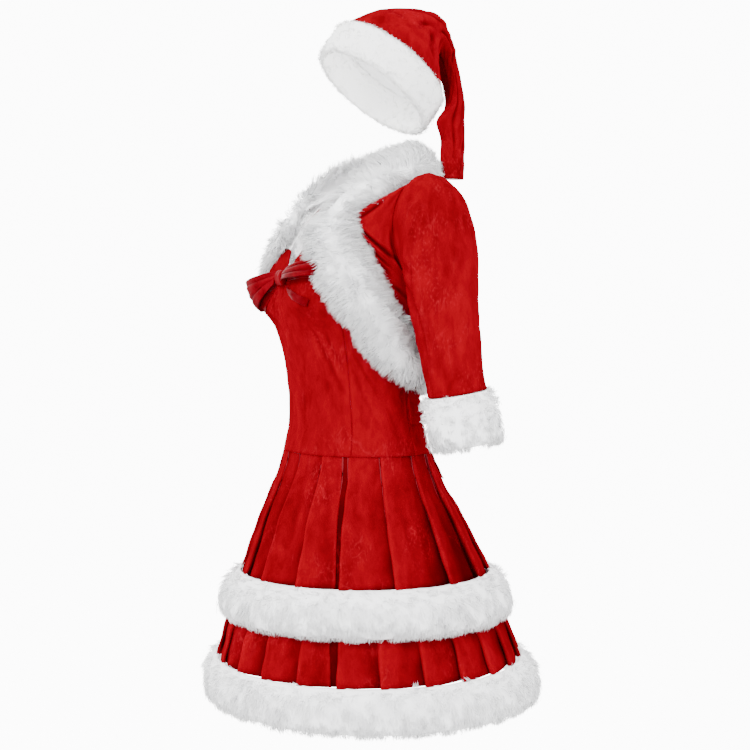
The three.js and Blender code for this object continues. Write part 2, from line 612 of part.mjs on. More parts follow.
// The back panel runs from -1 at the right side line to 1 at the left one.
function boleroBack(u, v) {
  const turn = Math.abs(u) * Math.PI / 2;
  const side = sideLine(v, false);
  const centre = BACK_LINE(v);
  const round = vec(side.x * Math.sin(turn), lerp(side.y, centre.y, Math.max(Math.cos(turn), 0) ** 0.75),
    lerp(side.z, centre.z, Math.cos(turn)));
  const neck = clothEdge(NECK_SHARE * Math.abs(u)).add(vec(0, SHOULDER_GAP / 2 * Math.abs(u), 0));
  const hem = clothEdge(lerp(3, SIDE_STOP + 0.003, Math.abs(u)));
  const point = round.lerp(neck, Math.max(0, 1 - v / 0.22) ** 2);
  point.lerp(hem, Math.max(0, (v - 0.72) / 0.28) ** 2);
  if (u < 0) point.x *= -1;
  return point;
}

function buildBolero() {
  const rows = BOLERO_ROWS.map((v) => 1 - v).reverse();
  const shoulder = (u, v) => (Math.abs(u) === 1 && v >= 1 - SHOULDER_SHARE ? vec(0, 0, 1) : null);
  const frontRows = [...rows.slice(0, -1), 1 - NECK_CORNER];
  addPair('bolero_front', patch((u, v) => boleroFront(u, 1 - v), spread(0, 1, 5), frontRows, shoulder), RED);
  add('bolero_back', patch((u, v) => boleroBack(-u, 1 - v), spread(-1, 1, 2 * BACK_COLUMNS), rows, shoulder), RED);
}

// Hat: each row gives a ring by its top point and its under point, its middle in X and its half width in X.
const HAT_AXIS = vec(0, Math.sin(rad(HAT.tilt)), Math.cos(rad(HAT.tilt)));
const HAT_LENGTH_AXIS = vec(0, -Math.cos(rad(HAT.tilt)), Math.sin(rad(HAT.tilt)));

function hatRing(height, growth, around) {
  return vec(0, HAT.y, HAT.z)
    .addScaledVector(HAT_AXIS, height)
    .addScaledVector(vec(1, 0, 0), (HAT.halfWidth + growth) * Math.sin(rad(around)))
    .addScaledVector(HAT_LENGTH_AXIS, (HAT.halfLength + growth) * Math.cos(rad(around)));
}

const CROWN_GROWTH = 5;
const CROWN_FRONT = hatRing(HAT.height + SEAM, CROWN_GROWTH, 0);
const CROWN_NAPE = hatRing(HAT.height + SEAM, CROWN_GROWTH, 180);
const CROWN = table(['t', 'ty', 'tz', 'uy', 'uz', 'x', 'half'],
  [0, CROWN_FRONT.y, CROWN_FRONT.z, CROWN_NAPE.y, CROWN_NAPE.z, 0, HAT.halfWidth + CROWN_GROWTH],
  [0.06, 6, 272, 154, 152, 0, 86],
  [0.13, 38, 283, 150, 170, 1, 79],
  [0.21, 82, 288, 147, 190, 3, 62],
  [0.29, 122, 288, 146, 208, 6, 46],
  [0.36, 151, 280, 149, 220, 9, 34],
  [0.43, 169, 259, 154, 218, 12, 30],
  [0.51, 181, 226, 159, 206, 15, 27],
  [0.6, 189, 185, 165, 181, 20, 24],
  [0.7, 195, 140, 169, 138, 27, 20],
  [0.8, 188, 92, 151, 91, 37, 15],
  [0.9, 176, 46, 137, 46, 50, 11],
  [1, 167, 8, 130.3, 8, 60, 8]);

function crown(around, t) {
  const row = CROWN(t);
  const share = (1 + Math.cos(rad(around))) / 2;
  return vec(row.x + row.half * Math.sin(rad(around)), lerp(row.uy, row.ty, share), lerp(row.uz, row.tz, share));
}

function buildHat() {
  const around = spread(0, 345, 23);
  const steps = [0, 0.03, 0.06, 0.13, 0.21, 0.29, 0.36, 0.43, 0.51, 0.6, 0.7, 0.8, 0.9, 1];
  const outer = around.map((a) => steps.map((t) => crown(a, t)));
  const inner = around.map((a) => steps.map((t) => (t === 0
    ? hatRing(HAT.height + SEAM, CROWN_GROWTH - CLOTH, a)
    : crown(a, t).addScaledVector(normalOf(crown, a, Math.min(t, 0.99), 2, 0.005), -CLOTH))));
  add('hat_crown', wall(outer, inner, true), RED);
  const { plush, height } = HAT;
  const profile = [[0, 2], [-1, height / 2], [1.5, height], [8, height], [plush, height - 6],
    [plush + 1, height / 2], [plush, 6], [6, 0]];
  add('hat_band', loft(spread(0, 348, 29).map((a) => profile.map(([growth, up]) => hatRing(up, growth, a))), true),
    WHITE);
}

buildBodice();
buildStraps();
buildBow();
buildSash();
buildSkirt();
buildTrim();
buildSleeves();
buildBolero();
buildHat();

export default costume;
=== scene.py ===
import logging
import math
from dataclasses import dataclass, field
from enum import Enum
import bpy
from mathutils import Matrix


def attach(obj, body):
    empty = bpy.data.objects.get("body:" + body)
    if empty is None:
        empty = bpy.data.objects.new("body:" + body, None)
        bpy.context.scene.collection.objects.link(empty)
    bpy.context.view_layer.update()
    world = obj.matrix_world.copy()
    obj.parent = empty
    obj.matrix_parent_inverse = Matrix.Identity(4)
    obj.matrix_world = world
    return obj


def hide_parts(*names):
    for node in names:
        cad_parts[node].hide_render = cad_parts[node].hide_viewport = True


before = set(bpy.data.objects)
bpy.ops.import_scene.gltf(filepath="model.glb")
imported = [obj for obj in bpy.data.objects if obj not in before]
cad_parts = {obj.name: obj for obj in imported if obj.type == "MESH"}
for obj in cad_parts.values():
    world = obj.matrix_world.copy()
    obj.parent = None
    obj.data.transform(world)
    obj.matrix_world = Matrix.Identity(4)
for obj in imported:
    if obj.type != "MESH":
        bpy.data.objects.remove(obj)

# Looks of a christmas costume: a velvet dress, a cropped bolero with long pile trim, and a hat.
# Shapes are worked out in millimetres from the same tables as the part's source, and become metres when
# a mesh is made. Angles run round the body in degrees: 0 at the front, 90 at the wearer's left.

from types import SimpleNamespace
from typing import Callable, Sequence

import bmesh
import bpy
import numpy as np

Array = np.ndarray
Surface = Callable[[Array, Array], Array]
MM = 0.001
CLOTH = 2.0
SEAM = 0.3
SEAM_TUCK = 1.0
RIDGE_RISE = 0.35
RIDGE_PLACE = 1.9
RIDGE_WIDTH = 0.9
WELD = 2e-5
HEM_Z = -440.0
PRINCESS_ANGLE = 53.5
SIDE_ANGLE = 108.0
BOLERO_LIFT = 8.0
LOG = logging.getLogger("costume")


class Side(Enum):
    """The wearer's side that a piece is on, as the sign of X."""

    LEFT = 1
    RIGHT = -1


# Tables and surfaces


class Table:
    """A table with named columns, read at any key along a smooth curve through its rows."""

    def __init__(self, names: str, *rows: Sequence[float]) -> None:
        """Keeps the rows and works out the slope of each column at each row.

        Args:
            names: the column names, parted by spaces, with the key first.
            rows: one row of numbers for each section.
        """
        self.names = names.split()
        self.rows = np.array(rows, float)
        before = np.vstack([self.rows[:1], self.rows[:-1]])
        after = np.vstack([self.rows[1:], self.rows[-1:]])
        self.slopes = (after - before) / (after[:, :1] - before[:, :1])

    def __call__(self, key: Array) -> SimpleNamespace:
        """Reads every column.

        Args:
            key: the keys to read at.

        Returns:
            An array for each named column.
        """
        key = np.asarray(key, float)
        keys = self.rows[:, 0]
        i = np.searchsorted(keys[1:-1], key, side="left")
        step = (keys[i + 1] - keys[i])[..., None]
        t = np.clip((key[..., None] - keys[i][..., None]) / step, 0, 1)
        value = ((2 * t**3 - 3 * t**2 + 1) * self.rows[i] + (t**3 - 2 * t**2 + t) * self.slopes[i] * step
                 + (3 * t**2 - 2 * t**3) * self.rows[i + 1] + (t**3 - t**2) * self.slopes[i + 1] * step)
        return SimpleNamespace(**{name: value[..., k] for k, name in enumerate(self.names)})


def points(x: Array, y: Array, z: Array) -> Array:
    """Joins three arrays into an array of points."""
    return np.stack(np.broadcast_arrays(x, y, z), axis=-1).astype(float)


def unit(vectors: Array) -> Array:
    """Gives vectors the length of one."""
    return vectors / np.maximum(np.linalg.norm(vectors, axis=-1, keepdims=True), 1e-9)


def mix(a: Array, b: Array, share: Array) -> Array:
    """Blends a into b by a share from 0 to 1."""
    return a + (b - a) * share


def smooth(x: Array, low: float, high: float) -> Array:
    """A smooth step from 0 at low to 1 at high."""
    t = np.clip((np.asarray(x, float) - low) / (high - low), 0, 1)
    return t * t * (3 - 2 * t)


def normal_of(surface: Surface, u: Array, v: Array, du: float = 0.5, dv: float = 0.5) -> Array:
    """The unit normals of a surface, with its first step crossed with its second.

    Args:
        surface: gives points for two coordinates.
        u: the first coordinates.
        v: the second coordinates.
        du: half the step taken in the first.
        dv: half the step taken in the second.

    Returns:
        The normals, each of length one.
    """
    across = surface(u + du, v) - surface(u - du, v)
    along = surface(u, v + dv) - surface(u, v - dv)
    return unit(np.cross(across, along))


def turned(angle: Array) -> Array:
    """Brings angles to the range from -180 to 180 degrees."""
    return (np.asarray(angle, float) + 180) % 360 - 180


def level_out(angle: Array) -> Array:
    """The level direction away from the middle axis at an angle round the body."""
    return points(np.sin(np.radians(angle)), -np.cos(np.radians(angle)), 0)


def oval(section: SimpleNamespace, angle: Array, z: Array) -> Array:
    """A point on a level section whose front and back halves have their own depths.

    Args:
        section: the half width, the front, the back and the middle in Y.
        angle: the angle round the body, in degrees.
        z: the height, in millimetres.

    Returns:
        The points, in millimetres.
    """
    sin, cos = np.sin(np.radians(angle)), np.cos(np.radians(angle))
    depth = np.where(cos > 0, section.mid - section.front, section.back - section.mid)
    return points(section.half * sin, section.mid - depth * cos, z)


TORSO = Table("z half front back mid",
              (-440, 137, -107, 121, 5), (-400, 131, -98, 108, 2), (-350, 126, -98, 101, 0),
              (-300, 126, -105, 101, 0), (-259, 128, -115, 106, 0), (-230, 132, -120, 112, 5),
              (-193, 138, -121, 120, 12), (-153, 144, -113, 127, 22), (-110, 147, -96, 130, 32),
              (-60, 150, -70, 131, 42), (-30, 150, -48, 131, 47))


@dataclass(frozen=True)
class Bust:
    """Where the bodice is rounded out by its cut, and by how much, in millimetres."""

    x: float = 75
    z: float = -193
    rise: float = 32
    spread: float = 40
    above: float = 58
    below: float = 25

    def reach(self, x: Array, z: Array) -> Array:
        """How far the bodice comes forward at a place.

        Args:
            x: the places across, in millimetres.
            z: the heights, in millimetres.

        Returns:
            The distances forward, in millimetres.
        """
        tall = np.where(z > self.z, self.above, self.below)
        beside, off = (np.abs(x) - self.x) / self.spread, (z - self.z) / tall
        return self.rise * np.exp(-(beside ** 2 + off ** 2) / 2)


BUST = Bust()


def torso(angle: Array, z: Array) -> Array:
    """The surface under the dress and the bolero.

    Args:
        angle: the angle round the body, in degrees.
        z: the height, in millimetres.

    Returns:
        The points, in millimetres.
    """
    angle, z = np.broadcast_arrays(np.asarray(angle, float), np.asarray(z, float))
    place = oval(TORSO(z), angle, z)
    place[..., 1] -= np.where(np.cos(np.radians(angle)) > 0, BUST.reach(place[..., 0], z), 0)
    return place


# Folds and creases laid one by one


@dataclass(frozen=True)
class Crease:
    """One soft trough, or a ridge if its depth is below zero, from one place to another on its piece.

    The places are in the piece's own coordinates. The depth, the width and the bow to one side are in
    millimetres.
    """

    u0: float
    v0: float
    u1: float
    v1: float
    depth: float
    width: float
    bow: float = 0.0


@dataclass(frozen=True)
class Folds:
    """The creases of a piece, with the millimetres that one step of each of its coordinates spans.

    The ripple is the height of the cloth's own unevenness and the grain its wavelength. The tint says how
    strongly a millimetre of relief shows as painted shade in the troughs and painted highlight on the
    ridges.
    """

    creases: tuple[Crease, ...] = ()
    u_mm: float = 1.0
    v_mm: float = 1.0
    ripple: float = 0.6
    grain: float = 62.0
    tint: float = 0.18

    def offset(self, u: Array, v: Array) -> Array:
        """The height of the cloth over its plain surface, in millimetres.

        Args:
            u: the first coordinates of the places.
            v: the second coordinates of the places.

        Returns:
            The heights, in millimetres.
        """
        x, y = u * self.u_mm, v * self.v_mm
        k = 2 * math.pi / self.grain
        total = self.ripple * (np.sin(k * (x + 0.6 * y) + 1.3 * np.sin(0.61 * k * y + 2.0))
                               * np.sin(0.77 * k * (y - 0.35 * x) + 1.9 * np.sin(0.47 * k * x))
                               + 0.5 * np.sin(1.9 * k * (0.8 * x - y) + 2.2 * np.sin(0.83 * k * x + 0.4)))
        for c in self.creases:
            ax, ay = c.u0 * self.u_mm, c.v0 * self.v_mm
            bx, by = (c.u1 - c.u0) * self.u_mm, (c.v1 - c.v0) * self.v_mm
            length = math.hypot(bx, by)
            t = np.clip(((x - ax) * bx + (y - ay) * by) / length**2, -0.2, 1.2)
            side = ((x - ax) * -by + (y - ay) * bx) / length - c.bow * 4 * t * (1 - t)
            fade = np.sin(np.pi * np.clip(t * 0.92 + 0.04, 0, 1)) ** 0.6 * ((t > -0.04) & (t < 1.04))
            width = c.width * (0.6 + 0.6 * np.clip(t, 0, 1))
            beyond = (np.abs(side) - RIDGE_PLACE * width) / (RIDGE_WIDTH * width)
            ridge = RIDGE_RISE * np.exp(-(beyond ** 2))
            total = total + fade * c.depth * (ridge - np.exp(-((side / width) ** 2)))
        return total


# Shader wiring


class Wire:
    """A shader socket that can be used in Python expressions."""

    def __init__(self, graph: "Graph", socket: bpy.types.NodeSocket) -> None:
        """Keeps the socket and the graph that it belongs to."""
        self.graph = graph
        self.socket = socket

    def _math(self, operation: str, a: object, b: object = 0.0) -> "Wire":
        """Adds one Math node."""
        return self.graph.node("ShaderNodeMath", {"operation": operation}, {0: a, 1: b})

    def __add__(self, other: object) -> "Wire":
        """Adds a value."""
        return self._math("ADD", self, other)

    __radd__ = __add__

    def __sub__(self, other: object) -> "Wire":
        """Takes a value away."""
        return self._math("SUBTRACT", self, other)

    def __rsub__(self, other: object) -> "Wire":
        """Is taken away from a value."""
        return self._math("SUBTRACT", other, self)

    def __mul__(self, other: object) -> "Wire":
        """Multiplies by a value."""
        return self._math("MULTIPLY", self, other)

    __rmul__ = __mul__

    def __abs__(self) -> "Wire":
        """Drops the sign."""
        return self._math("ABSOLUTE", self)


class Graph:
    """The node tree of one material, built by expressions."""

    def __init__(self, name: str) -> None:
        """Starts a material with nothing but its output.

        Args:
            name: the material's name.
        """
        self.material = bpy.data.materials.new(name)
        self.material.use_nodes = True
        self.tree = self.material.node_tree
        self.tree.nodes.clear()
        self.output = self.tree.nodes.new("ShaderNodeOutputMaterial")

    def node(self, kind: str, settings: dict | None = None, inputs: dict | None = None,
             out: object = 0) -> Wire:
        """Adds a node.

        Args:
            kind: the node's type.
            settings: its own settings, or "stops" for a ramp's places and colours.
            inputs: values or wires for its sockets, by name or number.
            out: which output to return.

        Returns:
            The wire that leaves the node.
        """
        made = self.tree.nodes.new(kind)
        for key, value in (settings or {}).items():
            if key == "stops":
                ramp = made.color_ramp
                while len(ramp.elements) < len(value):
                    ramp.elements.new(0.5)
                for element, (place, colour) in zip(ramp.elements, value):
                    element.position = place
                    element.color = (*colour, 1.0) if hasattr(colour, "__len__") else (colour,) * 3 + (1.0,)
            else:
                setattr(made, key, value)
        for key, value in (inputs or {}).items():
            socket = made.inputs[key]
            if isinstance(value, Wire):
                self.tree.links.new(value.socket, socket)
            elif socket.type == "RGBA" and len(value) == 3:
                socket.default_value = (*value, 1.0)
            else:
                socket.default_value = value
        return Wire(self, made.outputs[out])

    def place(self) -> Wire:
        """The point on the object, in metres."""
        return self.node("ShaderNodeTexCoord", out="Object")

    def noise(self, vector: Wire, scale: float, detail: float = 3.0, twist: float = 0.0) -> Wire:
        """Noise from 0 to 1 at a scale in repeats a metre."""
        return self.node("ShaderNodeTexNoise", None,
                         {"Vector": vector, "Scale": scale, "Detail": detail, "Distortion": twist}, "Fac")

    def ramp(self, value: Wire, *stops: tuple[float, object]) -> Wire:
        """A ramp of colours or greys over a value."""
        return self.node("ShaderNodeValToRGB", {"stops": stops}, {"Fac": value}, "Color")

    def blend(self, share: object, a: object, b: object) -> Wire:
        """Mixes two colours."""
        return self.node("ShaderNodeMix", {"data_type": "RGBA"}, {0: share, 6: a, 7: b}, 2)

    def bump(self, height: Wire, strength: float, distance: float) -> Wire:
        """A bump normal from a height."""
        return self.node("ShaderNodeBump", None,
                         {"Height": height, "Strength": strength, "Distance": distance}, "Normal")

    def finish(self, inputs: dict) -> bpy.types.Material:
        """Adds the surface shader.

        Args:
            inputs: values or wires for the shader's sockets.

        Returns:
            The finished material.
        """
        shader = self.node("ShaderNodeBsdfPrincipled", None, inputs, "BSDF")
        self.tree.links.new(shader.socket, self.output.inputs["Surface"])
        return self.material


# Finishes


@dataclass(frozen=True)
class Velvet:
    """Short pile stretch velvet, mottled by the way the pile lies, with pale crush lines.

    The scales are in repeats a metre. The attribute named lie carries painted shade for the fold troughs
    and painted highlight for the ridges.
    """

    name: str
    dark: tuple[float, float, float]
    light: tuple[float, float, float]
    crush: tuple[float, float, float]
    roughness: float = 0.6
    sheen: float = 0.03
    lines: float = 0.2
    shine: float = 0.0
    broad_scale: float = 11.0
    mottle_scale: float = 75.0
    speck_scale: float = 420.0
    wander_scale: float = 34.0
    patch_scale: float = 17.0

    def build(self) -> bpy.types.Material:
        """Makes the material.

        Returns:
            The material.
        """
        g = Graph(self.name)
        at = g.place()
        tall = g.node("ShaderNodeMapping", None, {"Vector": at, "Scale": (1.0, 1.0, 0.45)})
        broad = g.noise(tall, self.broad_scale, 2.0, 0.5)
        mottle = g.noise(tall, self.mottle_scale, 4.0, 0.5)
        speck = g.noise(tall, self.speck_scale, 2.0)
        streak = g.node("ShaderNodeMapping", None, {"Vector": at, "Rotation": (0.3, 0.2, 0.0),
                                                    "Scale": (1.0, 1.0, 0.28)})
        wander = g.noise(streak, self.wander_scale, 2.0, 0.5)
        line = 1.0 - g.ramp(abs(wander - 0.5), (0.0, 0.0), (0.016, 1.0))
        patch = g.ramp(g.noise(at, self.patch_scale, 2.0), (0.5, 0.0), (0.64, 1.0))
        lie = g.ramp(broad * 0.5 + mottle * 0.38 + speck * 0.12, (0.36, 0.0), (0.64, 1.0))
        cloth = g.blend(lie, self.dark, self.light)
        # Painted light: the attribute named lie paints the fold ridges lighter as highlight and the troughs
        # darker as shade.
        fold = g.node("ShaderNodeAttribute", {"attribute_name": "lie"}, None, "Fac")
        ridge, trough = tuple(1.25 * c for c in self.light), tuple(0.3 * c for c in self.dark)
        ridge_highlight = g.blend(g.ramp(fold, (0.05, 0.0), (1.0, 0.6)), cloth, ridge)
        sunk = g.blend(g.ramp(fold * -1.0, (0.06, 0.0), (1.0, 0.85)), ridge_highlight, trough)
        worn = patch * (line * self.lines + g.ramp(speck, (0.55, 0.0), (0.7, 1.0)) * 0.2)
        crushed = g.blend(worn, sunk, self.crush)
        height = line * patch * -0.5 + mottle * 0.3 + speck * 0.15
        return g.finish({
            "Base Color": crushed, "Roughness": self.roughness - 0.12 * mottle,
            "Normal": g.bump(height, 0.3, 0.0012), "Sheen Weight": self.sheen, "Sheen Roughness": 0.35,
            "Sheen Tint": (1.0, 0.04, 0.05, 1.0), "Specular IOR Level": self.shine,
            "Specular Tint": (1.0, 0.06, 0.08, 1.0)})


@dataclass(frozen=True)
class Lining:
    """Plain woven lining."""

    name: str
    colour: tuple[float, float, float]

    def build(self) -> bpy.types.Material:
        """Makes the material.

        Returns:
            The material.
        """
        g = Graph(self.name)
        at = g.place()
        weave = g.noise(at, 1400.0, 1.0)
        shade = g.noise(at, 30.0, 3.0)
        dim = tuple(0.86 * c for c in self.colour)
        return g.finish({"Base Color": g.blend(shade, dim, self.colour), "Roughness": 0.8,
                         "Normal": g.bump(weave, 0.2, 0.0004), "Specular IOR Level": 0.2})


@dataclass(frozen=True)
class Pile:
    """White pile whose strands have painted shade at their roots, by the attribute named shade."""

    name: str
    root: tuple[float, float, float]
    tip: tuple[float, float, float]
    roughness: float = 0.8

    def build(self) -> bpy.types.Material:
        """Makes the material.

        Returns:
            The material.
        """
        g = Graph(self.name)
        at = g.place()
        shade = g.node("ShaderNodeAttribute", {"attribute_name": "shade"}, None, "Fac")
        clump = g.noise(at, 45.0, 3.0)
        fibre = g.noise(at, 700.0, 2.0)
        # Painted shade: darker towards the strands' roots, with clumps of random tone.
        depth = g.ramp(shade * 0.8 + clump * 0.35, (0.1, 0.0), (0.85, 1.0))
        return g.finish({"Base Color": g.blend(depth, self.root, self.tip), "Roughness": self.roughness,
                         "Normal": g.bump(fibre, 0.25, 0.001), "Sheen Weight": 0.2,
                         "Sheen Tint": (1.0, 1.0, 1.0, 1.0), "Specular IOR Level": 0.25})


@dataclass(frozen=True)
class Sweep:
    """The lit white of the studio's floor and wall."""

    name: str
    glow: float

    def build(self) -> bpy.types.Material:
        """Makes the material.

        Returns:
            The material.
        """
        return Graph(self.name).finish({"Base Color": (0.9, 0.9, 0.9), "Roughness": 0.9,
                                        "Emission Color": (1, 1, 1), "Emission Strength": self.glow})


@dataclass
class Finishes:
    """Every material of the costume, made once."""

    velvet: bpy.types.Material = field(default_factory=lambda: Velvet(
        "red_velvet", (0.09, 0.0001, 0.002), (0.17, 0.0001, 0.0042), (0.34, 0.012, 0.02)).build())
    bow: bpy.types.Material = field(default_factory=lambda: Velvet(
        "bow_velvet", (0.065, 0.0001, 0.002), (0.155, 0.0001, 0.0045), (0.3, 0.012, 0.02),
        roughness=0.4, sheen=0.0, lines=0.15, shine=0.05).build())
    red_lining: bpy.types.Material = field(default_factory=lambda: Lining(
        "red_lining", (0.13, 0.001, 0.006)).build())
    pale_lining: bpy.types.Material = field(default_factory=lambda: Lining(
        "pale_lining", (0.93, 0.93, 0.93)).build())
    # The root colours of the fur and the plush are painted shade deep among their strands.
    fur: bpy.types.Material = field(default_factory=lambda: Pile(
        "white_fur", (0.90, 0.90, 0.92), (0.985, 0.985, 0.985)).build())
    plush: bpy.types.Material = field(default_factory=lambda: Pile(
        "white_plush", (0.93, 0.93, 0.92), (0.985, 0.985, 0.975), 0.9).build())


# Meshes


def object_of(name: str, mesh: bpy.types.Mesh, materials: Sequence[bpy.types.Material]) -> bpy.types.Object:
    """Links a mesh as a smooth shaded object with its materials.

    Args:
        name: the object's name.
        mesh: its mesh.
        materials: its materials, outer face first.

    Returns:
        The object.
    """
    for material in materials:
        mesh.materials.append(material)
    mesh.polygons.foreach_set("use_smooth", [True] * len(mesh.polygons))
    made = bpy.data.objects.new(name, mesh)
    bpy.context.scene.collection.objects.link(made)
    return made


def grid_mesh(name: str, columns: int, rows: int, place: Surface, merge: bool = False, flip: bool = False,
              tone: Surface | None = None) -> bpy.types.Mesh:
    """A grid whose points are moved on to a surface.

    Args:
        name: the mesh's name.
        columns: the spans across.
        rows: the spans along.
        place: gives the points in millimetres for shares from 0 to 1 across and along.
        merge: whether edges that meet are joined.
        flip: whether the faces are turned over.
        tone: gives each point's painted shade, from the troughs at -1 to painted highlight on the ridges at
            1.

    Returns:
        The mesh, in metres, with its shares kept as a UV map.
    """
    bm = bmesh.new()
    bmesh.ops.create_grid(bm, x_segments=columns, y_segments=rows, size=0.5)
    share = np.array([v.co for v in bm.verts]) + 0.5
    uv = bm.loops.layers.uv.new("cloth")
    for face in bm.faces:
        for loop in face.loops:
            loop[uv].uv = share[loop.vert.index, :2]
    where = place(share[:, 0], share[:, 1]) * MM
    for vert, co in zip(bm.verts, where):
        vert.co = co
    # The tone is kept as the attribute named lie, which the velvet paints as shade and highlight.
    if tone:
        lie = bm.verts.layers.float.new("lie")
        for vert, value in zip(bm.verts, tone(share[:, 0], share[:, 1])):
            vert[lie] = value
    if merge:
        bmesh.ops.remove_doubles(bm, verts=bm.verts, dist=WELD)
    if flip:
        bmesh.ops.reverse_faces(bm, faces=bm.faces)
    mesh = bpy.data.meshes.new(name)
    bm.to_mesh(mesh)
    bm.free()
    return mesh


def face_outwards(mesh: bpy.types.Mesh) -> None:
    """Turns the faces of a closed mesh outwards.

    Args:
        mesh: the mesh, which is changed in place.
    """
    bm = bmesh.new()
    bm.from_mesh(mesh)
    bmesh.ops.recalc_face_normals(bm, faces=bm.faces)
    bm.to_mesh(mesh)
    bm.free()


def thicken(piece: bpy.types.Object, lined: bool) -> bpy.types.Object:
    """Gives a cloth piece its thickness inwards.

    Args:
        piece: the cloth's outer face.
        lined: whether its second material covers the inside.

    Returns:
        The same piece.
    """
    shell = piece.modifiers.new("cloth_wall", "SOLIDIFY")
    shell.thickness = CLOTH * MM
    shell.offset = -1.0
    shell.use_even_offset = False
    shell.material_offset = 1 if lined else 0
    return piece


def settle(piece: bpy.types.Object, nodes: Sequence[str]) -> bpy.types.Object:
    """Puts a piece on the one body, in the place of its solids.

    Args:
        piece: the finished piece.
        nodes: the solids that it takes the place of, or none.

    Returns:
        The same piece.
    """
    if nodes:
        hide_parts(*nodes)
    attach(piece, "root")
    LOG.info("%s: %d faces", piece.name, len(piece.data.polygons))
    return piece


@dataclass
class Panel:
    """A cloth panel: its surface, its range of coordinates and its folds.

    The step is used for the surface's normals. The seams say over which share the relief fades at the low
    and high edge across and along, and above zero the edge is tucked in there as well. The spacing, where
    there is one, places the columns, and the cast adds painted shade and painted highlight to the tone.
    """

    name: str
    surface: Surface
    across: tuple[float, float]
    along: tuple[float, float]
    columns: int
    rows: int
    folds: Folds = Folds()
    step: tuple[float, float] = (0.5, 0.5)
    height: float = 0.0
    seams: tuple[float, float, float, float] = (0, 0, 0, 0)
    closed: bool = False
    mirror: bool = False
    spacing: Callable[[Array], Array] | None = None
    cast: Surface | None = None

    def coordinates(self, a: Array, b: Array) -> tuple[Array, Array]:
        """The surface's own coordinates at shares from 0 to 1 across and along."""
        u = self.spacing(a) if self.spacing else mix(self.across[0], self.across[1], a)
        return u, mix(self.along[0], self.along[1], b)

    def relief(self, a: Array, b: Array) -> Array:
        """The height of the folds at shares across and along, alike at both ends of a closed ring.

        Args:
            a: the share across.
            b: the share along.

        Returns:
            The heights, in millimetres.
        """
        u, v = self.coordinates(a, b)
        lift = self.folds.offset(u, v)
        if self.closed:
            lift = mix(lift, self.folds.offset(u - (self.across[1] - self.across[0]), v), smooth(a, 0.9, 1))
        return lift

    def tone(self, a: Array, b: Array) -> Array:
        """How far each point is up a ridge or down a trough, painted by the velvet as highlight or shade."""
        cast = self.cast(*self.coordinates(a, b)) if self.cast else 0.0
        return np.clip(self.relief(a, b) * self.folds.tint + cast, -1, 1)

    def point(self, a: Array, b: Array) -> Array:
        """The outer face of the cloth at shares from 0 to 1 across and along.

        Args:
            a: the share across.
            b: the share along.

        Returns:
            The points, in millimetres.
        """
        u, v = self.coordinates(a, b)
        du, dv = self.step
        inner_u = u if self.closed else np.clip(u, min(self.across) + du, max(self.across) - du)
        inner_v = np.clip(v, min(self.along) + dv, max(self.along) - dv)
        normal = normal_of(self.surface, inner_u, inner_v, du, dv)
        lift = self.relief(a, b)
        for edge, share in zip(self.seams, (a, 1 - a, b, 1 - b)):
            if edge:
                tuck = SEAM_TUCK * (1 - smooth(share, 0, abs(edge) * 0.5)) if edge > 0 else 0
                lift = lift * smooth(share, 0, abs(edge)) - tuck
        place = self.surface(u, v) + normal * (self.height + lift)[..., None]
        if self.mirror:
            place[..., 0] *= -1
        return place

    def build(self, materials: Sequence[bpy.types.Material]) -> bpy.types.Object:
        """Makes the panel's shell."""
        mesh = grid_mesh(self.name, self.columns, self.rows, self.point, self.closed, self.mirror, self.tone)
        return thicken(object_of(self.name, mesh, materials), len(materials) > 1)


# Fur


class Outline:
    """A closed outline across a piece, as a smooth curve through a few named corners."""

    def __init__(self, *corners: tuple[float, float], pull: tuple[float, float] = (1, 1)) -> None:
        """Keeps the corners.

        Args:
            corners: the corners in order, each with two coordinates.
            pull: how strongly each coordinate shrinks with the outline's size.
        """
        self.corners = np.array(corners, float)
        self.pull = pull
        self.middle = self.corners.mean(0)

    def __call__(self, share: Array, size: Array | float = 1.0) -> tuple[Array, Array]:
        """Two coordinates of the outline at shares from 0 to 1 round it, shrunk to its middle by size.

        Args:
            share: the shares of the way round.
            size: 1 for the whole outline, and less inside it.

        Returns:
            The first and the second coordinates.
        """
        n = len(self.corners)
        x = np.asarray(share, float) * n
        i = np.floor(x).astype(int)
        t = (x - i)[..., None]
        p0, p1, p2, p3 = (self.corners[(i + k) % n] for k in (-1, 0, 1, 2))
        bend = 2 * p0 - 5 * p1 + 4 * p2 - p3 + t * (3 * (p1 - p2) + p3 - p0)
        curve = p1 + 0.5 * t * (p2 - p0 + t * bend)
        size = np.asarray(size, float)
        return (self.middle[0] + (curve[..., 0] - self.middle[0]) * size ** self.pull[0],
                self.middle[1] + (curve[..., 1] - self.middle[1]) * size ** self.pull[1])


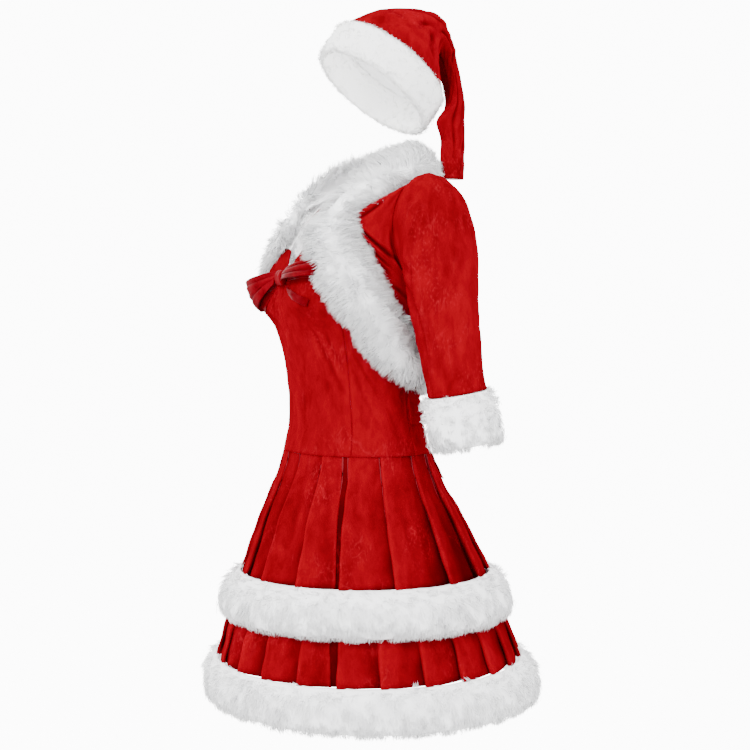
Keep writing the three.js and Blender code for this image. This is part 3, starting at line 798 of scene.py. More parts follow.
def strand_mesh(name: str, rings: Array, shade: Array, normals: Array) -> bpy.types.Mesh:
    """Makes narrow tapered ribbons, each of one face with four corners and one with three.

    Args:
        name: the mesh's name.
        rings: five points for each strand, two at its root, two at its middle and its tip, in millimetres.
        shade: how near the tip each point is, from 0 to 1.
        normals: one soft normal for each strand.

    Returns:
        The mesh, in metres.
    """
    total, corners, _ = rings.shape
    base = np.arange(total)[:, None] * corners
    loops = np.concatenate([base + np.array([[0, 1, 2, 3]]), base + np.array([[3, 2, 4]])], 1)
    starts = (np.arange(total)[:, None] * loops.shape[1] + np.array([[0, 4]])).ravel()
    mesh = bpy.data.meshes.new(name)
    mesh.vertices.add(total * corners)
    mesh.vertices.foreach_set("co", (rings.reshape(-1) * MM).astype(np.float32))
    mesh.loops.add(loops.size)
    mesh.loops.foreach_set("vertex_index", loops.ravel().astype(np.int32))
    mesh.polygons.add(len(starts))
    mesh.polygons.foreach_set("loop_start", starts.astype(np.int32))
    layer = mesh.attributes.new("shade", "FLOAT", "POINT")
    layer.data.foreach_set("value", shade.ravel().astype(np.float32))
    mesh.update(calc_edges=True)
    mesh.polygons.foreach_set("use_smooth", [True] * len(mesh.polygons))
    mesh.normals_split_custom_set_from_vertices(np.repeat(normals, corners, 0).tolist())
    return mesh


@dataclass
class Fur:
    """A strip of fur: a soft backing inside the solid's outline, with tufts that end near that outline.

    The span runs along the strip and the outline across it, and shown is the part of the outline that
    bears tufts. The body is the backing's size against the outline. The lean weighs the ways outward, along
    the comb and at random, and grow lengthens or shortens the pile from place to place. The strands start
    below the backing's surface by sunk millimetres, rise by arch of their length and narrow to taper.
    """

    name: str
    node: str
    place: Callable[[Array, Array, Array], Array]
    outline: Outline
    span: tuple[float, float]
    closed: bool
    columns: int
    tufts: int
    shown: tuple[float, float]
    pile: float
    flat: tuple[float, float]
    comb: Callable[[Array, Array], Array]
    slot: str = "fur"
    strands: int = 16
    scatter: float = 4.4
    width: float = 0.7
    body: float = 0.72
    lean: tuple[float, float, float] = (0.75, 0.5, 0.32)
    grow: Surface | None = None
    seed: int = 1
    rounded: float = 0.012
    lumps: float = 0.06
    sunk: float = 1.5
    arch: float = 0.13
    taper: float = 0.85

    def surface(self, s: Array, c: Array, size: float) -> Array:
        """A point of the strip's outline at a scale, rounded off at open ends.

        Args:
            s: the place along the strip.
            c: the share round its outline.
            size: 1 for the whole outline, and less inside it.

        Returns:
            The points, in millimetres.
        """
        low, high = self.span
        end = 1.0
        if not self.closed:
            near = np.minimum(s - low, high - s) / (high - low)
            end = 0.75 + 0.25 * np.sin(np.pi / 2 * np.clip(near / self.rounded, 0, 1))
            end = np.where(near <= 1e-6, 0.02, end)
        a, b = self.outline(c, size * end)
        return self.place(s, a, b)

    def backing(self, material: bpy.types.Material) -> bpy.types.Object:
        """Makes the soft body under the strands.

        Args:
            material: the pile's material.

        Returns:
            The backing's object.
        """
        low, high = self.span

        def at(a: Array, b: Array) -> Array:
            """A point of the backing, with low lumps.

            Args:
                a: the share along the strip.
                b: the share round it.

            Returns:
                The points, in millimetres.
            """
            s = mix(low, high, a)
            uneven = np.sin(2 * np.pi * (41 * a + b)) * np.sin(2 * np.pi * (3 * b + 7 * a))
            return self.surface(s, b % 1.0, self.body * (1 + self.lumps * uneven))

        mesh = grid_mesh(self.name, self.columns, 16, at, True)
        face_outwards(mesh)
        # Painted shade: the backing gets a middling shade, between the strands' roots and their tips.
        shade = mesh.attributes.new("shade", "FLOAT", "POINT")
        shade.data.foreach_set("value", np.full(len(mesh.vertices), 0.55, np.float32))
        return object_of(self.name, mesh, [material])

    def pile_mesh(self) -> bpy.types.Mesh:
        """Makes the strands, each a narrow tapered ribbon, gathered to a point in tufts.

        Returns:
            The mesh, in metres.
        """
        rng = np.random.default_rng(self.seed)
        low, high = self.span
        count, per = self.tufts, self.strands
        ts = rng.uniform(low, high, count)
        tc = rng.uniform(self.shown[0], self.shown[1], count)
        core = self.surface(ts, tc, 0.02)
        root = self.surface(ts, tc, self.body)
        out = unit(root - core)
        comb = self.comb(ts, tc)
        swirl = unit(rng.normal(size=(count, 3)))
        lean = unit(self.lean[0] * out + self.lean[1] * comb + self.lean[2] * swirl)
        length = self.pile * rng.uniform(0.7, 1.2, count) * (self.grow(ts, tc) if self.grow else 1)
        tuft_tip = root + lean * length[:, None]
        roots = np.repeat(root, per, 0)
        outs = np.repeat(out, per, 0)
        jitter = rng.normal(size=(count * per, 3)) * self.scatter
        jitter -= outs * (jitter * outs).sum(-1, keepdims=True)
        start = roots + jitter - outs * self.sunk
        close = rng.uniform(0.1, 0.8, (count * per, 1))
        tip = np.repeat(tuft_tip, per, 0) + jitter * (1 - close) + rng.normal(size=(count * per, 3)) * 1.0
        middle = start + (tip - start) * 0.5 + outs * np.repeat(length, per)[:, None] * self.arch
        along = unit(tip - start)
        side = unit(np.cross(along, rng.normal(size=(count * per, 3))))
        side *= np.where((np.cross(side, along) * outs).sum(-1, keepdims=True) < 0, -1, 1)
        wide = self.width * rng.uniform(0.6, 1.2, (count * per, 1)) / 2
        foot, waist = side * wide, side * wide * self.taper
        rings = np.stack([start - foot, start + foot, middle + waist, middle - waist, tip], 1)
        # Painted shade along each strand, darker at its root, with a random tone for each tuft.
        tone = np.repeat(rng.uniform(-0.12, 0.12, count), per)[:, None]
        shade = np.clip(np.array([[0.25, 0.25, 0.7, 0.7, 1.0]]) + tone, 0, 1)
        soft = unit(0.85 * outs + 0.2 * np.cross(side, along) + 0.15 * along)
        return strand_mesh(self.name + "_pile", rings, shade, soft)

    def build(self, material: bpy.types.Material) -> None:
        """Makes both parts and puts them in the solid's place.

        Args:
            material: the pile's material.
        """
        backing = settle(self.backing(material), [self.node])
        pile = settle(object_of(self.name + "_pile", self.pile_mesh(), [material]), [])


def down(s: Array, c: Array) -> Array:
    """A comb direction that hangs straight down."""
    return np.tile((0.0, 0.0, -1.0), (len(s), 1))


# The dress

BODICE_TOP = Table("angle z", (0, -153), (3.5, -137), (7, -121), (9.5, -113), (20, -109), (30, -113),
                   (42, -124), (53.5, -140), (75, -168), (108, -192), (145, -215), (180, -225))
STRAP_START = 0.18


def bodice_surface(angle: Array, share: Array) -> Array:
    """The dress's body from its waist seam at 0 to its top edge at 1."""
    return torso(angle, mix(HEM_Z, BODICE_TOP(np.abs(turned(angle))).z, share))


@dataclass
class Bodice:
    """The fitted body of the dress, in a front, two side panels and a back."""

    height: float = CLOTH
    degree: float = 2.25
    share: float = 300.0

    def front_folds(self) -> Folds:
        """Gathers under the bow, and drag lines from the bust to the waist on both sides.

        Returns:
            The folds of the front panel.
        """
        mine = [
            Crease(0.5, 0.84, 3, 0.66, 1.6, 3), Crease(5, 0.85, 13, 0.7, 1.5, 3, 3),
            Crease(-5, 0.85, -12, 0.68, 1.5, 3), Crease(9, 0.87, 22, 0.76, 1.3, 3, 2),
            Crease(-9, 0.87, -22, 0.77, 1.3, 3, -2),
            Crease(2, 0.84, 8, 0.62, -0.9, 3), Crease(-2, 0.84, -7, 0.6, -0.9, 3),
        ]
        for sign in (1, -1):
            mine += [
                Crease(sign * 30, 0.62, sign * 50, 0.30, 2.4, 5.5, sign * -4),
                Crease(sign * 38, 0.63, sign * 53, 0.42, 1.8, 5, sign * -3),
                Crease(sign * 24, 0.56, sign * 40, 0.22, 1.2, 7, sign * -3),
                Crease(sign * 46, 0.20, sign * 51, 0.02, 1.0, 7),
            ]
        return Folds(tuple(mine), self.degree, self.share, 0.5, 70)

    def side_folds(self) -> Folds:
        """Drag lines that fan down from the front band to the waist."""
        mine = (Crease(56, 0.60, 84, 0.32, 2.0, 5, -4), Crease(56, 0.50, 78, 0.16, 1.8, 6, -4),
                Crease(64, 0.62, 96, 0.44, 1.7, 5, -3), Crease(60, 0.36, 74, 0.05, 1.2, 7, -2),
                Crease(84, 0.30, 98, 0.08, 1.3, 8, 2), Crease(98, 0.62, 104, 0.28, 1.3, 7, 2))
        return Folds(mine, self.degree, self.share, 0.5, 66)

    def back_folds(self) -> Folds:
        """Soft folds of the back above the sash."""
        mine = (Crease(126, 0.5, 150, 0.26, 1.8, 8, 3), Crease(150, 0.62, 172, 0.34, 1.4, 8, 3),
                Crease(234, 0.5, 210, 0.26, 1.8, 8, -3), Crease(206, 0.62, 189, 0.34, 1.4, 8, -3),
                Crease(140, 0.12, 150, 0.0, 1.2, 8), Crease(220, 0.12, 212, 0.0, 1.2, 8))
        return Folds(mine, self.degree, self.share, 0.7, 80)

    def build(self, finishes: Finishes) -> None:
        """Makes the four panels.

        Args:
            finishes: the costume's materials.
        """
        edge, side = PRINCESS_ANGLE, SIDE_ANGLE
        panels = [
            (Panel("dress_front", bodice_surface, (-edge, edge), (0, 1), 100, 72, self.front_folds()),
             "bodice_front", (0.30, 0.38), 0.083),
            (Panel("dress_back", bodice_surface, (side, 360 - side), (0, 1), 84, 40, self.back_folds()),
             "bodice_back", (0.34, 0.27), 0.071),
        ]
        for way in Side:
            label = way.name.lower()
            panels.append((Panel(f"dress_side_{label}", bodice_surface, (edge, side), (0, 1), 40, 60,
                                 self.side_folds(), mirror=way is Side.RIGHT),
                           f"bodice_side_{label}", (0.14, 0.31), 0.031))
        for panel, node, flat, area in panels:
            panel.height = self.height
            panel.step = (0.3, 0.003)
            panel.seams = (0.03, 0.03, -0.02, -0.015)
            piece = settle(panel.build([finishes.velvet, finishes.pale_lining]), [node])


@dataclass
class Straps:
    """The halter straps, from the cups to the nape."""

    lower: float = 9.8
    wide: float = 19.9
    rows: Table = Table("t ix iy iz ox oy oz",
                        (STRAP_START, 36, -76, -74, 68, -70, -80), (0.38, 52, -30, -36, 80, -26, -44),
                        (0.58, 58, 20, -6, 82, 24, -13), (0.76, 50, 66, 14, 66, 77, 8),
                        (0.9, 27, 96, 26, 34, 108, 14), (1, SEAM / 2, 104, 30, SEAM / 2, 116, 16))

    def surface(self, u: Array, t: Array) -> Array:
        """A point of the left strap, from the neck edge at 0 to the outer edge at 1.

        Args:
            u: the share from the neck edge to the outer edge.
            t: the share from the cup to the nape.

        Returns:
            The points, in millimetres.
        """
        upper = self.rows(np.maximum(t, STRAP_START))
        high = points(mix(upper.ix, upper.ox, u), mix(upper.iy, upper.oy, u), mix(upper.iz, upper.oz, u))
        angle = self.lower + self.wide * u
        low = torso(angle, BODICE_TOP(angle).z + SEAM)
        start = self.rows(np.full_like(t, STRAP_START))
        top = points(mix(start.ix, start.ox, u), mix(start.iy, start.oy, u), mix(start.iz, start.oz, u))
        return np.where((t >= STRAP_START)[..., None], high, mix(low, top, (t / STRAP_START)[..., None]))

    def build(self, finishes: Finishes) -> None:
        """Makes both straps.

        Args:
            finishes: the costume's materials.
        """
        mine = (Crease(0.2, 0.05, 0.5, 0.5, 1.0, 4), Crease(0.6, 0.02, 0.7, 0.4, 0.9, 4))
        folds = Folds(mine, 26, 240, 0.3, 40)
        for way in Side:
            label = way.name.lower()
            panel = Panel(f"strap_{label}", self.surface, (0, 1), (0, 1), 10, 56, folds, (0.02, 0.02), CLOTH,
                          mirror=way is Side.RIGHT)
            faces = [finishes.velvet, finishes.pale_lining]
            made = panel.build(faces if way is Side.LEFT else faces[::-1])
            piece = settle(made, [f"halter_strap_{label}"])


# Bow and sash


@dataclass
class Knot:
    """A short band of cloth drawn tight round the middle of a bow or a sash."""

    name: str
    node: str
    centre: tuple[float, float, float]
    half: tuple[float, float, float]
    slot: str
    sizes: Table = Table("x size", (-1, 0.02), (-0.97, 0.5), (-0.8, 0.88), (-0.3, 0.97), (0.3, 0.97),
                         (0.8, 0.88), (0.97, 0.5), (1, 0.02))

    def at(self, a: Array, b: Array) -> Array:
        """A point of the knot, with its gathers.

        Args:
            a: the share across.
            b: the share round.

        Returns:
            The points, in millimetres.
        """
        x = a * 2 - 1
        turn = b * 2 * np.pi
        size = self.sizes(x).size
        slant = 0.07 * np.exp(-(((x - 0.3 * np.sin(turn)) / 0.14) ** 2))
        girdle = 0.06 * np.exp(-(((x + 0.45) / 0.12) ** 2))
        reach = size * (1 - slant - girdle)
        return np.array(self.centre) + points(x * self.half[0], reach * self.half[1] * np.cos(turn),
                                              reach * self.half[2] * np.sin(turn))

    def build(self, material: bpy.types.Material) -> None:
        """Makes the knot, which is cloth wrapped on itself.

        Args:
            material: the knot's material.
        """
        mesh = grid_mesh(self.name, 36, 36, self.at, True)
        face_outwards(mesh)
        settle(object_of(self.name, mesh, [material]), [self.node])


@dataclass(frozen=True)
class BowHalf:
    """The sizes of one side of the bow.

    The tips are angles and heights on the body, the halves are half widths in millimetres, and out and
    lean say how far the loop stands off at its tip.
    """

    way: Side
    tip: float
    tip_z: float
    half: float
    out: float
    lean: float
    tail: float
    tail_z: float
    tail_half: float


@dataclass
class Bow:
    """The bow at the bottom of the neckline: two loops, two tails and a knot."""

    z: float = -158
    root: float = 6.3
    degree: float = 2.3
    halves: tuple[BowHalf, ...] = (BowHalf(Side.LEFT, 37, -144, 13, 0, 0, 38, -199, 5.5),
                                   BowHalf(Side.RIGHT, 26, -190, 22, 3, 12, 24, -204, 10))
    ribbon: Table = Table("t s height spread",
                          (0, 0, 2.8, 0.5), (0.2, 0.42, 3.4, 0.75), (0.38, 0.85, 4.4, 1), (0.46, 0.97, 7, 1),
                          (0.54, 1, 11, 1), (0.62, 0.97, 16, 1), (0.74, 0.8, 19, 0.95),
                          (0.88, 0.4, 18, 0.75), (1, 0, 12, 0.5))
    tail: Table = Table("t height spread", (0, 2.6, 0.5), (0.4, 2.8, 0.8), (0.75, 3.4, 1), (1, 4.2, 1))

    def loop(self, half: BowHalf) -> Surface:
        """The folded ribbon of one side, with its inner face along the body.

        Args:
            half: the sizes of the side.

        Returns:
            The loop's surface.
        """
        def at(v: Array, t: Array) -> Array:
            """A point of the loop.

            Args:
                v: the place across, from -1 to 1.
                t: the share along, out and back.

            Returns:
                The points, in millimetres.
            """
            row = self.ribbon(t)
            angle = mix(self.root, half.tip, row.s)
            height = row.height + (half.out + half.lean * v) * np.sin(row.s * np.pi / 2)
            z = mix(self.z, half.tip_z, row.s) + v * half.half * row.spread
            out = unit(normal_of(torso, angle, z) * np.array((1, 1, 0.15)))
            return torso(angle, z) + out * height[..., None]
        return at

    def flat(self, half: BowHalf) -> Surface:
        """The hanging tail of one side.

        Args:
            half: the sizes of the side.

        Returns:
            The tail's surface.
        """
        run = np.array([(half.tail - self.root) * self.degree, half.tail_z - self.z + 6])
        side = np.array([-run[1], run[0]]) / np.linalg.norm(run)

        def at(v: Array, t: Array) -> Array:
            """A point of the tail.

            Args:
                v: the place across, from -1 to 1.
                t: the share down.

            Returns:
                The points, in millimetres.
            """
            row = self.tail(t)
            shift = v * half.tail_half * row.spread * smooth(t, -0.2, 0.5)
            angle = np.maximum(mix(self.root, half.tail, t) + side[0] * shift / self.degree, self.root)
            z = mix(self.z - 12, half.tail_z, t) + side[1] * shift
            return torso(angle, z) + normal_of(torso, angle, z) * row.height[..., None]
        return at

    def build(self, finishes: Finishes) -> None:
        """Makes the five pieces.

        Args:
            finishes: the costume's materials.
        """
        for half in self.halves:
            label = half.way.name.lower()
            flip = half.way is Side.RIGHT
            pulls = (Crease(-0.4, 0.02, -0.7, 0.4, 1.6, 2.4), Crease(0.1, 0.0, 0.25, 0.42, 1.8, 2.4),
                     Crease(0.45, 0.98, 0.8, 0.6, 1.8, 2.4), Crease(-0.1, 1.0, -0.3, 0.58, 2.0, 2.6),
                     Crease(0.15, 1.0, 0.35, 0.7, -1.2, 2.4))
            gathers = Folds(pulls, half.half, 110, 0.5, 26)
            loop = Panel(f"bow_loop_{label}_ribbon", self.loop(half), (1, -1), (0, 1), 20, 70, gathers,
                         (0.05, 0.005), mirror=flip)
            piece = settle(loop.build([finishes.bow]), [f"bow_loop_{label}"])
            creases = Folds((Crease(-0.2, 0.0, 0.1, 0.7, 1.6, 3), Crease(0.5, 0.05, 0.5, 0.6, 1.2, 3)),
                            half.tail_half, 60, 0.5, 26)
            tail = Panel(f"bow_tail_{label}_ribbon", self.flat(half), (-1, 1), (0, 1), 14, 30, creases,
                         (0.05, 0.01), CLOTH, mirror=flip)
            piece = settle(tail.build([finishes.bow]), [f"bow_tail_{label}"])
        Knot("bow_knot_wrap", "bow_knot", (0, -131.5, self.z), (11, 8, 13), "bow_velvet").build(finishes.bow)


def lower_body(angle: Array, z: Array) -> Array:
    """The dress's outside from the body down over the skirt."""
    angle, z = np.broadcast_arrays(np.asarray(angle, float), np.asarray(z, float))
    return np.where((z > HEM_Z)[..., None], torso(angle, z), oval(UPPER_SKIRT(z), angle, z))


TIE_START = 108.6
TIE_STOP = 172.4


@dataclass
class Sash:
    """The sash that is tied at the back, with a tie from each side seam."""

    height: float = CLOTH * 2 + 1.1
    degree: float = 2.3
    tie: Table = Table("angle z half", (TIE_START, -364, 28), (126, -371, 21), (148, -381, 15),
                       (TIE_STOP, -386, 11))
    end: Table = Table("t angle z half height", (0, 175.4, -405, 8, 8), (0.3, 172.5, -426, 12, 7),
                       (0.6, 167.5, -450, 14, 7), (1, 160.5, -487, 15, 6))

    def tie_surface(self, angle: Array, v: Array) -> Array:
        """A point of the left tie."""
        row = self.tie(angle)
        return torso(angle, row.z + v * row.half)

    def end_surface(self, v: Array, t: Array) -> Array:
        """A point of the left hanging end.

        Args:
            v: the place across, from -1 to 1.
            t: the share down.

        Returns:
            The points, in millimetres.
        """
        row = self.end(t)
        angle, z = row.angle - v * row.half / self.degree, row.z - v * 3
        return lower_body(angle, z) + normal_of(lower_body, angle, z) * row.height[..., None]

    def build(self, finishes: Finishes) -> None:
        """Makes the ties, the ends and the knot.

        Args:
            finishes: the costume's materials.
        """
        across = (Crease(110, -0.4, 172, -0.1, 2.4, 4), Crease(112, 0.3, 172, 0.25, 2.6, 4, 2),
                  Crease(118, 0.75, 170, 0.6, 1.4, 4), Crease(124, -0.1, 168, 0.05, -1.6, 4))
        pulls = Folds(across, self.degree, 22, 0.4, 40)
        falls = (Crease(-0.3, 0.0, -0.2, 0.8, 1.6, 3.5), Crease(0.4, 0.0, 0.5, 0.9, 1.4, 3.5))
        drops = Folds(falls, 13, 90, 0.6, 40)
        for way in Side:
            label = way.name.lower()
            flip = way is Side.RIGHT
            tie = Panel(f"sash_tie_{label}_strip", self.tie_surface, (TIE_START, TIE_STOP), (-1, 1), 60, 18,
                        pulls, (0.4, 0.05), self.height, mirror=flip)
            piece = settle(tie.build([finishes.velvet]), [f"sash_tie_{label}"])
            end = Panel(f"sash_end_{label}_strip", self.end_surface, (-1, 1), (0, 1), 14, 36, drops,
                        (0.05, 0.01), 0.0, mirror=flip)
            piece = settle(end.build([finishes.velvet]), [f"sash_end_{label}"])
        Knot("sash_knot_wrap", "sash_knot", (0, 119.5, -386), (16, 12, 15), "velvet").build(finishes.velvet)


# The skirt

UPPER_SKIRT = Table("z half front back mid", (-710, 231, -206, 254, 23), (-665, 218, -194, 240, 22),
                    (-625, 200, -178, 222, 22), (-577, 182, -161, 196, 18), (-538, 168, -147, 174, 14),
                    (-500, 155, -129, 148, 10), (-460, 142, -112, 128, 7), (-440, 137, -107, 121, 5))
UNDERSKIRT = Table("z half front back mid", (-640, 187, -164, 209, 22), (-628, 183.5, -161, 205.5, 22),
                   (-580, 170, -148, 184, 18), (-540, 158, -136, 164, 14), (-500, 147, -121, 141, 10),
                   (-460, 138.5, -108.5, 124, 7), (-440, 136.7, -106.7, 120.7, 5))
LOWER_SKIRT = Table("z half front back mid", (-845, 265, -227, 300, 36), (-805, 256, -221, 290, 34),
                    (-770, 249, -220, 278, 29), (-745, 240, -213, 268, 27), (-716, 229, -205, 255, 25),
                    (-702, 219, -196, 243, 23), (-690, 213, -190, 236, 23), (-660, 197, -174, 219, 22),
                    (-628, 184.2, -161.8, 206.2, 22))


@dataclass(frozen=True)
class Tier:
    """One pleated tier: its levels, its pleats' places and depths on one side, and its fur.

    The depth is that of the cloth's pleats and soft is what the fur follows of them. A pleat turns over
    within turn degrees and laps by lap degrees, and gentle and steep are the widths of its two sides under
    the fur. A pleat deeper than double has a second fold that faces it. The pleat at wide_fold has a wider
    and darker painted shade, and below is how far the cloth hangs under the hem.
    """

    name: str
    sections: Table
    top: float
    hem: float
    fur_hem: float
    depth: float
    soft: float
    pleats: tuple[tuple[float, float], ...]
    gentle: float = 8.0
    steep: float = 3.2
    turn: float = 1.0
    lap: float = 2.3
    double: float = 1.15
    wide_fold: float = 0.0
    below: float = 3.0

    def laid(self) -> list[tuple[float, float, float, float]]:
        """Every pleat all round: its angle, its depth, the way its top layer points, and its run behind.

        Returns:
            One row for each fold.
        """
        half = [0.0] + [place for place, _ in self.pleats]
        found = []
        for before, (place, deep) in zip(half, self.pleats):
            run = 0.85 * (place - before)
            found += [(place, deep, -1, run), (-place, deep, 1, run)]
            if deep > self.double:
                found += [(place - 5.5, 0.9 * deep, 1, 4.0), (5.5 - place, 0.9 * deep, -1, 4.0)]
        return found

    def spacing(self, share: Array) -> Array:
        """Angles for shares of the way round, closer together where the cloth turns over.

        Args:
            share: the shares of the way round.

        Returns:
            The angles, in degrees.
        """
        angles = np.linspace(-180, 180, 3601)
        dense = np.ones_like(angles)
        for place, *_ in self.laid():
            dense += 3.2 * np.exp(-((turned(angles - place) / 2.1) ** 2))
        run = np.concatenate([[0], np.cumsum((dense[1:] + dense[:-1]) / 2)])
        return np.interp(share, run / run[-1], angles)

    def drape(self, angle: Array, z: Array) -> Array:
        """A point of the cloth with its pleats folded over one another, deeper towards the hem.

        Args:
            angle: the angle round the body, in degrees.
            z: the height, in millimetres.

        Returns:
            The points, in millimetres.
        """
        angle, z = np.broadcast_arrays(np.asarray(angle, float), np.asarray(z, float))
        fall = np.clip((self.top - z) / (self.top - self.hem), 0, 1)
        grow = 0.12 + 0.88 * fall ** 0.8
        moved, deep = angle.copy(), np.zeros_like(angle)
        for place, depth, way, run in self.laid():
            x = turned(angle - place) * way
            over = way * self.lap * min(depth, 1) * grow
            moved += over * -(x / self.turn) * np.exp(0.5 - (x / self.turn) ** 2 / 2)
            behind = smooth(x, -self.turn, self.turn) * (1 - np.clip((x - self.turn) / run, 0, 1))
            deep = np.maximum(deep, depth * behind)
        inward = self.depth * 1.25 * grow * deep
        return oval(self.sections(z), moved, z) - level_out(moved) * inward[..., None]

    def shade(self, angle: Array, z: Array) -> Array:
        """Painted shade behind each pleat's edge and a painted highlight line along it.

        Args:
            angle: the angle round the body, in degrees.
            z: the height, in millimetres.

        Returns:
            The tone: painted highlight above zero and painted shade below it.
        """
        fall = np.clip((self.top - z) / (self.top - self.hem), 0, 1)
        tone = np.zeros_like(angle)
        for place, depth, way, run in self.laid():
            x = turned(angle - place) * way
            # Painted highlight along the fold's edge; painted shade behind it, wider and darker at
            # wide_fold.
            edge = np.exp(-(((x + self.turn) / 0.5) ** 2))
            wide = abs(place) == self.wide_fold
            spread = 18.0 * fall * wide
            dark = smooth(x, -0.6, 0.6) * np.exp(-np.maximum(x, 0) / (2.0 + 3.0 * fall + spread))
            broad = smooth(x, -0.6, 0.6) * (1 - np.clip(x / run, 0, 1))
            weight = min(depth, 1.1) * (1 + 0.7 * wide)
            tone = tone + 0.6 * edge - weight * ((0.4 + 0.4 * fall) * dark + 0.3 * broad)
        return tone

    def wave(self, angle: Array) -> Array:
        """How far the pleats turn the cloth in, from 0 on the faces to 1 in a fold.

        Args:
            angle: the angle round the body, in degrees.

        Returns:
            The shares of a pleat's depth.
        """
        a = np.abs(turned(angle))
        turn = np.zeros_like(a)
        for fold, deep in self.pleats:
            for start, here in ((fold, a), (fold, -a), (360 - fold, a)):
                away = here - start
                wide = np.where(away < 0, self.gentle, self.steep)
                turn = np.maximum(turn, deep * np.maximum(0, 1 - np.abs(away) / wide))
        return turn * turn * (3 - np.minimum(2 * turn, 2)) / 1.3

    def under_fur(self, angle: Array, z: Array) -> Array:
        """A point that the fur lies on, with the pleats softened.

        Args:
            angle: the angle round the body, in degrees.
            z: the height, in millimetres.

        Returns:
            The points, in millimetres.
        """
        angle, z = np.broadcast_arrays(np.asarray(angle, float), np.asarray(z, float))
        fall = np.clip((self.top - z) / (self.top - self.hem), 0, 1)
        deep = self.soft * fall * self.wave(angle)
        return oval(self.sections(z), angle, z) - level_out(angle) * deep[..., None]


UPPER_TIER = Tier("upper", UPPER_SKIRT, HEM_Z - SEAM, -625, -702, 10, 6,
                  ((10, 1), (31, 0.8), (52, 1.2), (76, 0.8), (104, 1.0), (127, 1.2), (149, 0.9), (170, 1)),
                  wide_fold=127, below=10)
LOWER_TIER = Tier("lower", LOWER_SKIRT, -628, -770, -838, 8, 5,
                  ((8, 0.9), (22, 1.1), (37, 0.8), (52, 1.2), (67, 0.9), (83, 1), (98, 1.1), (112, 0.8),
                   (127, 1.1), (142, 0.9), (157, 1.1), (172, 0.9)))


@dataclass
class Skirt:
    """Two pleated tiers over a plain underskirt, each tier with a hem of fur."""

    under: float = -3.0
    proud: float = 18.0

    def folds(self, tier: Tier) -> Folds:
        """Soft creases that run down between the pleats of a tier, different at each.

        Args:
            tier: the tier.

        Returns:
            The folds of the tier.
        """
        mine = []
        tall = tier.top - tier.hem
        places = [p for p, _ in tier.pleats] + [360 - p for p, _ in tier.pleats]
        for k, place in enumerate(sorted(places)):
            lean = 4.5 * math.sin(2.1 * k + 0.7)
            start = tier.top - tall * (0.08 + 0.1 * math.sin(1.7 * k) ** 2)
            stop = tier.hem + tall * (0.05 + 0.18 * math.sin(0.9 * k + 1) ** 2)
            bow = 3 * math.sin(k)
            mine.append(Crease(place + 7 + lean * 0.2, start, place + 9 + lean, stop, 1.3, 7, bow))
            mine.append(Crease(place + 13, start - 14, place + 14 + lean * 0.6, stop, -1.0, 7))
        return Folds(tuple(mine), 3.1 if tier is UPPER_TIER else 3.8, 1.0, 0.8, 90, 0.1)

    def fur(self, tier: Tier, finishes: Finishes, tufts: int, seed: int) -> None:
        """Makes one tier's hem of fur.

        Args:
            tier: the tier.
            finishes: the costume's materials.
            tufts: the number of tufts.
            seed: the seed of the pile's random draws.
        """
        top = tier.hem - tier.below
        drop = tier.fur_hem - top

        def place(angle: Array, offset: Array, share: Array) -> Array:
            """A point at a distance from the cloth, from the fur's top edge at 0 to its lower one at 1."""
            return tier.under_fur(angle, top + drop * share) + level_out(angle) * offset[..., None]

        def grow(s: Array, c: Array) -> Array:
            """The pile's length, shorter round the lower edge."""
            return 1 - 0.5 * smooth(c, 0.4, 0.58)

        under, proud = self.under, self.proud
        outline = Outline((under / 2, 0), (6, 0), (proud * 0.82, 0.14), (proud, 0.45), (proud * 0.86, 0.82),
                          (proud * 0.3, 1), (under / 2, 0.97), (under, 0.5), pull=(1, 0.15))
        girth = 1.36 if tier is UPPER_TIER else 1.6
        Fur(f"fur_{tier.name}_hem", f"fur_hem_{tier.name}", place, outline, (0, 360), True, 220, tufts,
            (0.125, 0.68), 13, (0.085, girth), down, seed=seed, lean=(0.66, 0.8, 0.24), grow=grow,
            body=0.78).build(finishes.fur)

    def build(self, finishes: Finishes) -> None:
        """Makes the tiers, the underskirt and the fur.

        Args:
            finishes: the costume's materials.
        """
        tiers = ((UPPER_TIER, 600, 24, (1.9, 0.2)), (LOWER_TIER, 620, 16, (2.4, 0.15)))
        for tier, columns, rows, flat in tiers:
            drop = (tier.hem - tier.below, tier.top)
            # The tier's cast is its pleats' painted shade and painted highlight.
            panel = Panel(f"skirt_{tier.name}_tier", tier.drape, (-180, 180), drop, columns, rows,
                          self.folds(tier), (0.15, 1.0), CLOTH, (0, 0, -0.02, -0.06), closed=True,
                          spacing=tier.spacing, cast=tier.shade)
            made = panel.build([finishes.velvet, finishes.red_lining])
            piece = settle(made, [f"skirt_{tier.name}"])
        lining = Panel("underskirt_lining", lambda angle, z: oval(UNDERSKIRT(z), angle, z), (-180, 180),
                       (-640, UPPER_TIER.top), 96, 16, Folds((), 3.0, 1.0, 0.8, 120), (0.5, 1.0),
                       closed=True)
        piece = settle(lining.build([finishes.red_lining]), ["underskirt"])
        self.fur(UPPER_TIER, finishes, 2400, 11)
        self.fur(LOWER_TIER, finishes, 2500, 12)


# The bolero

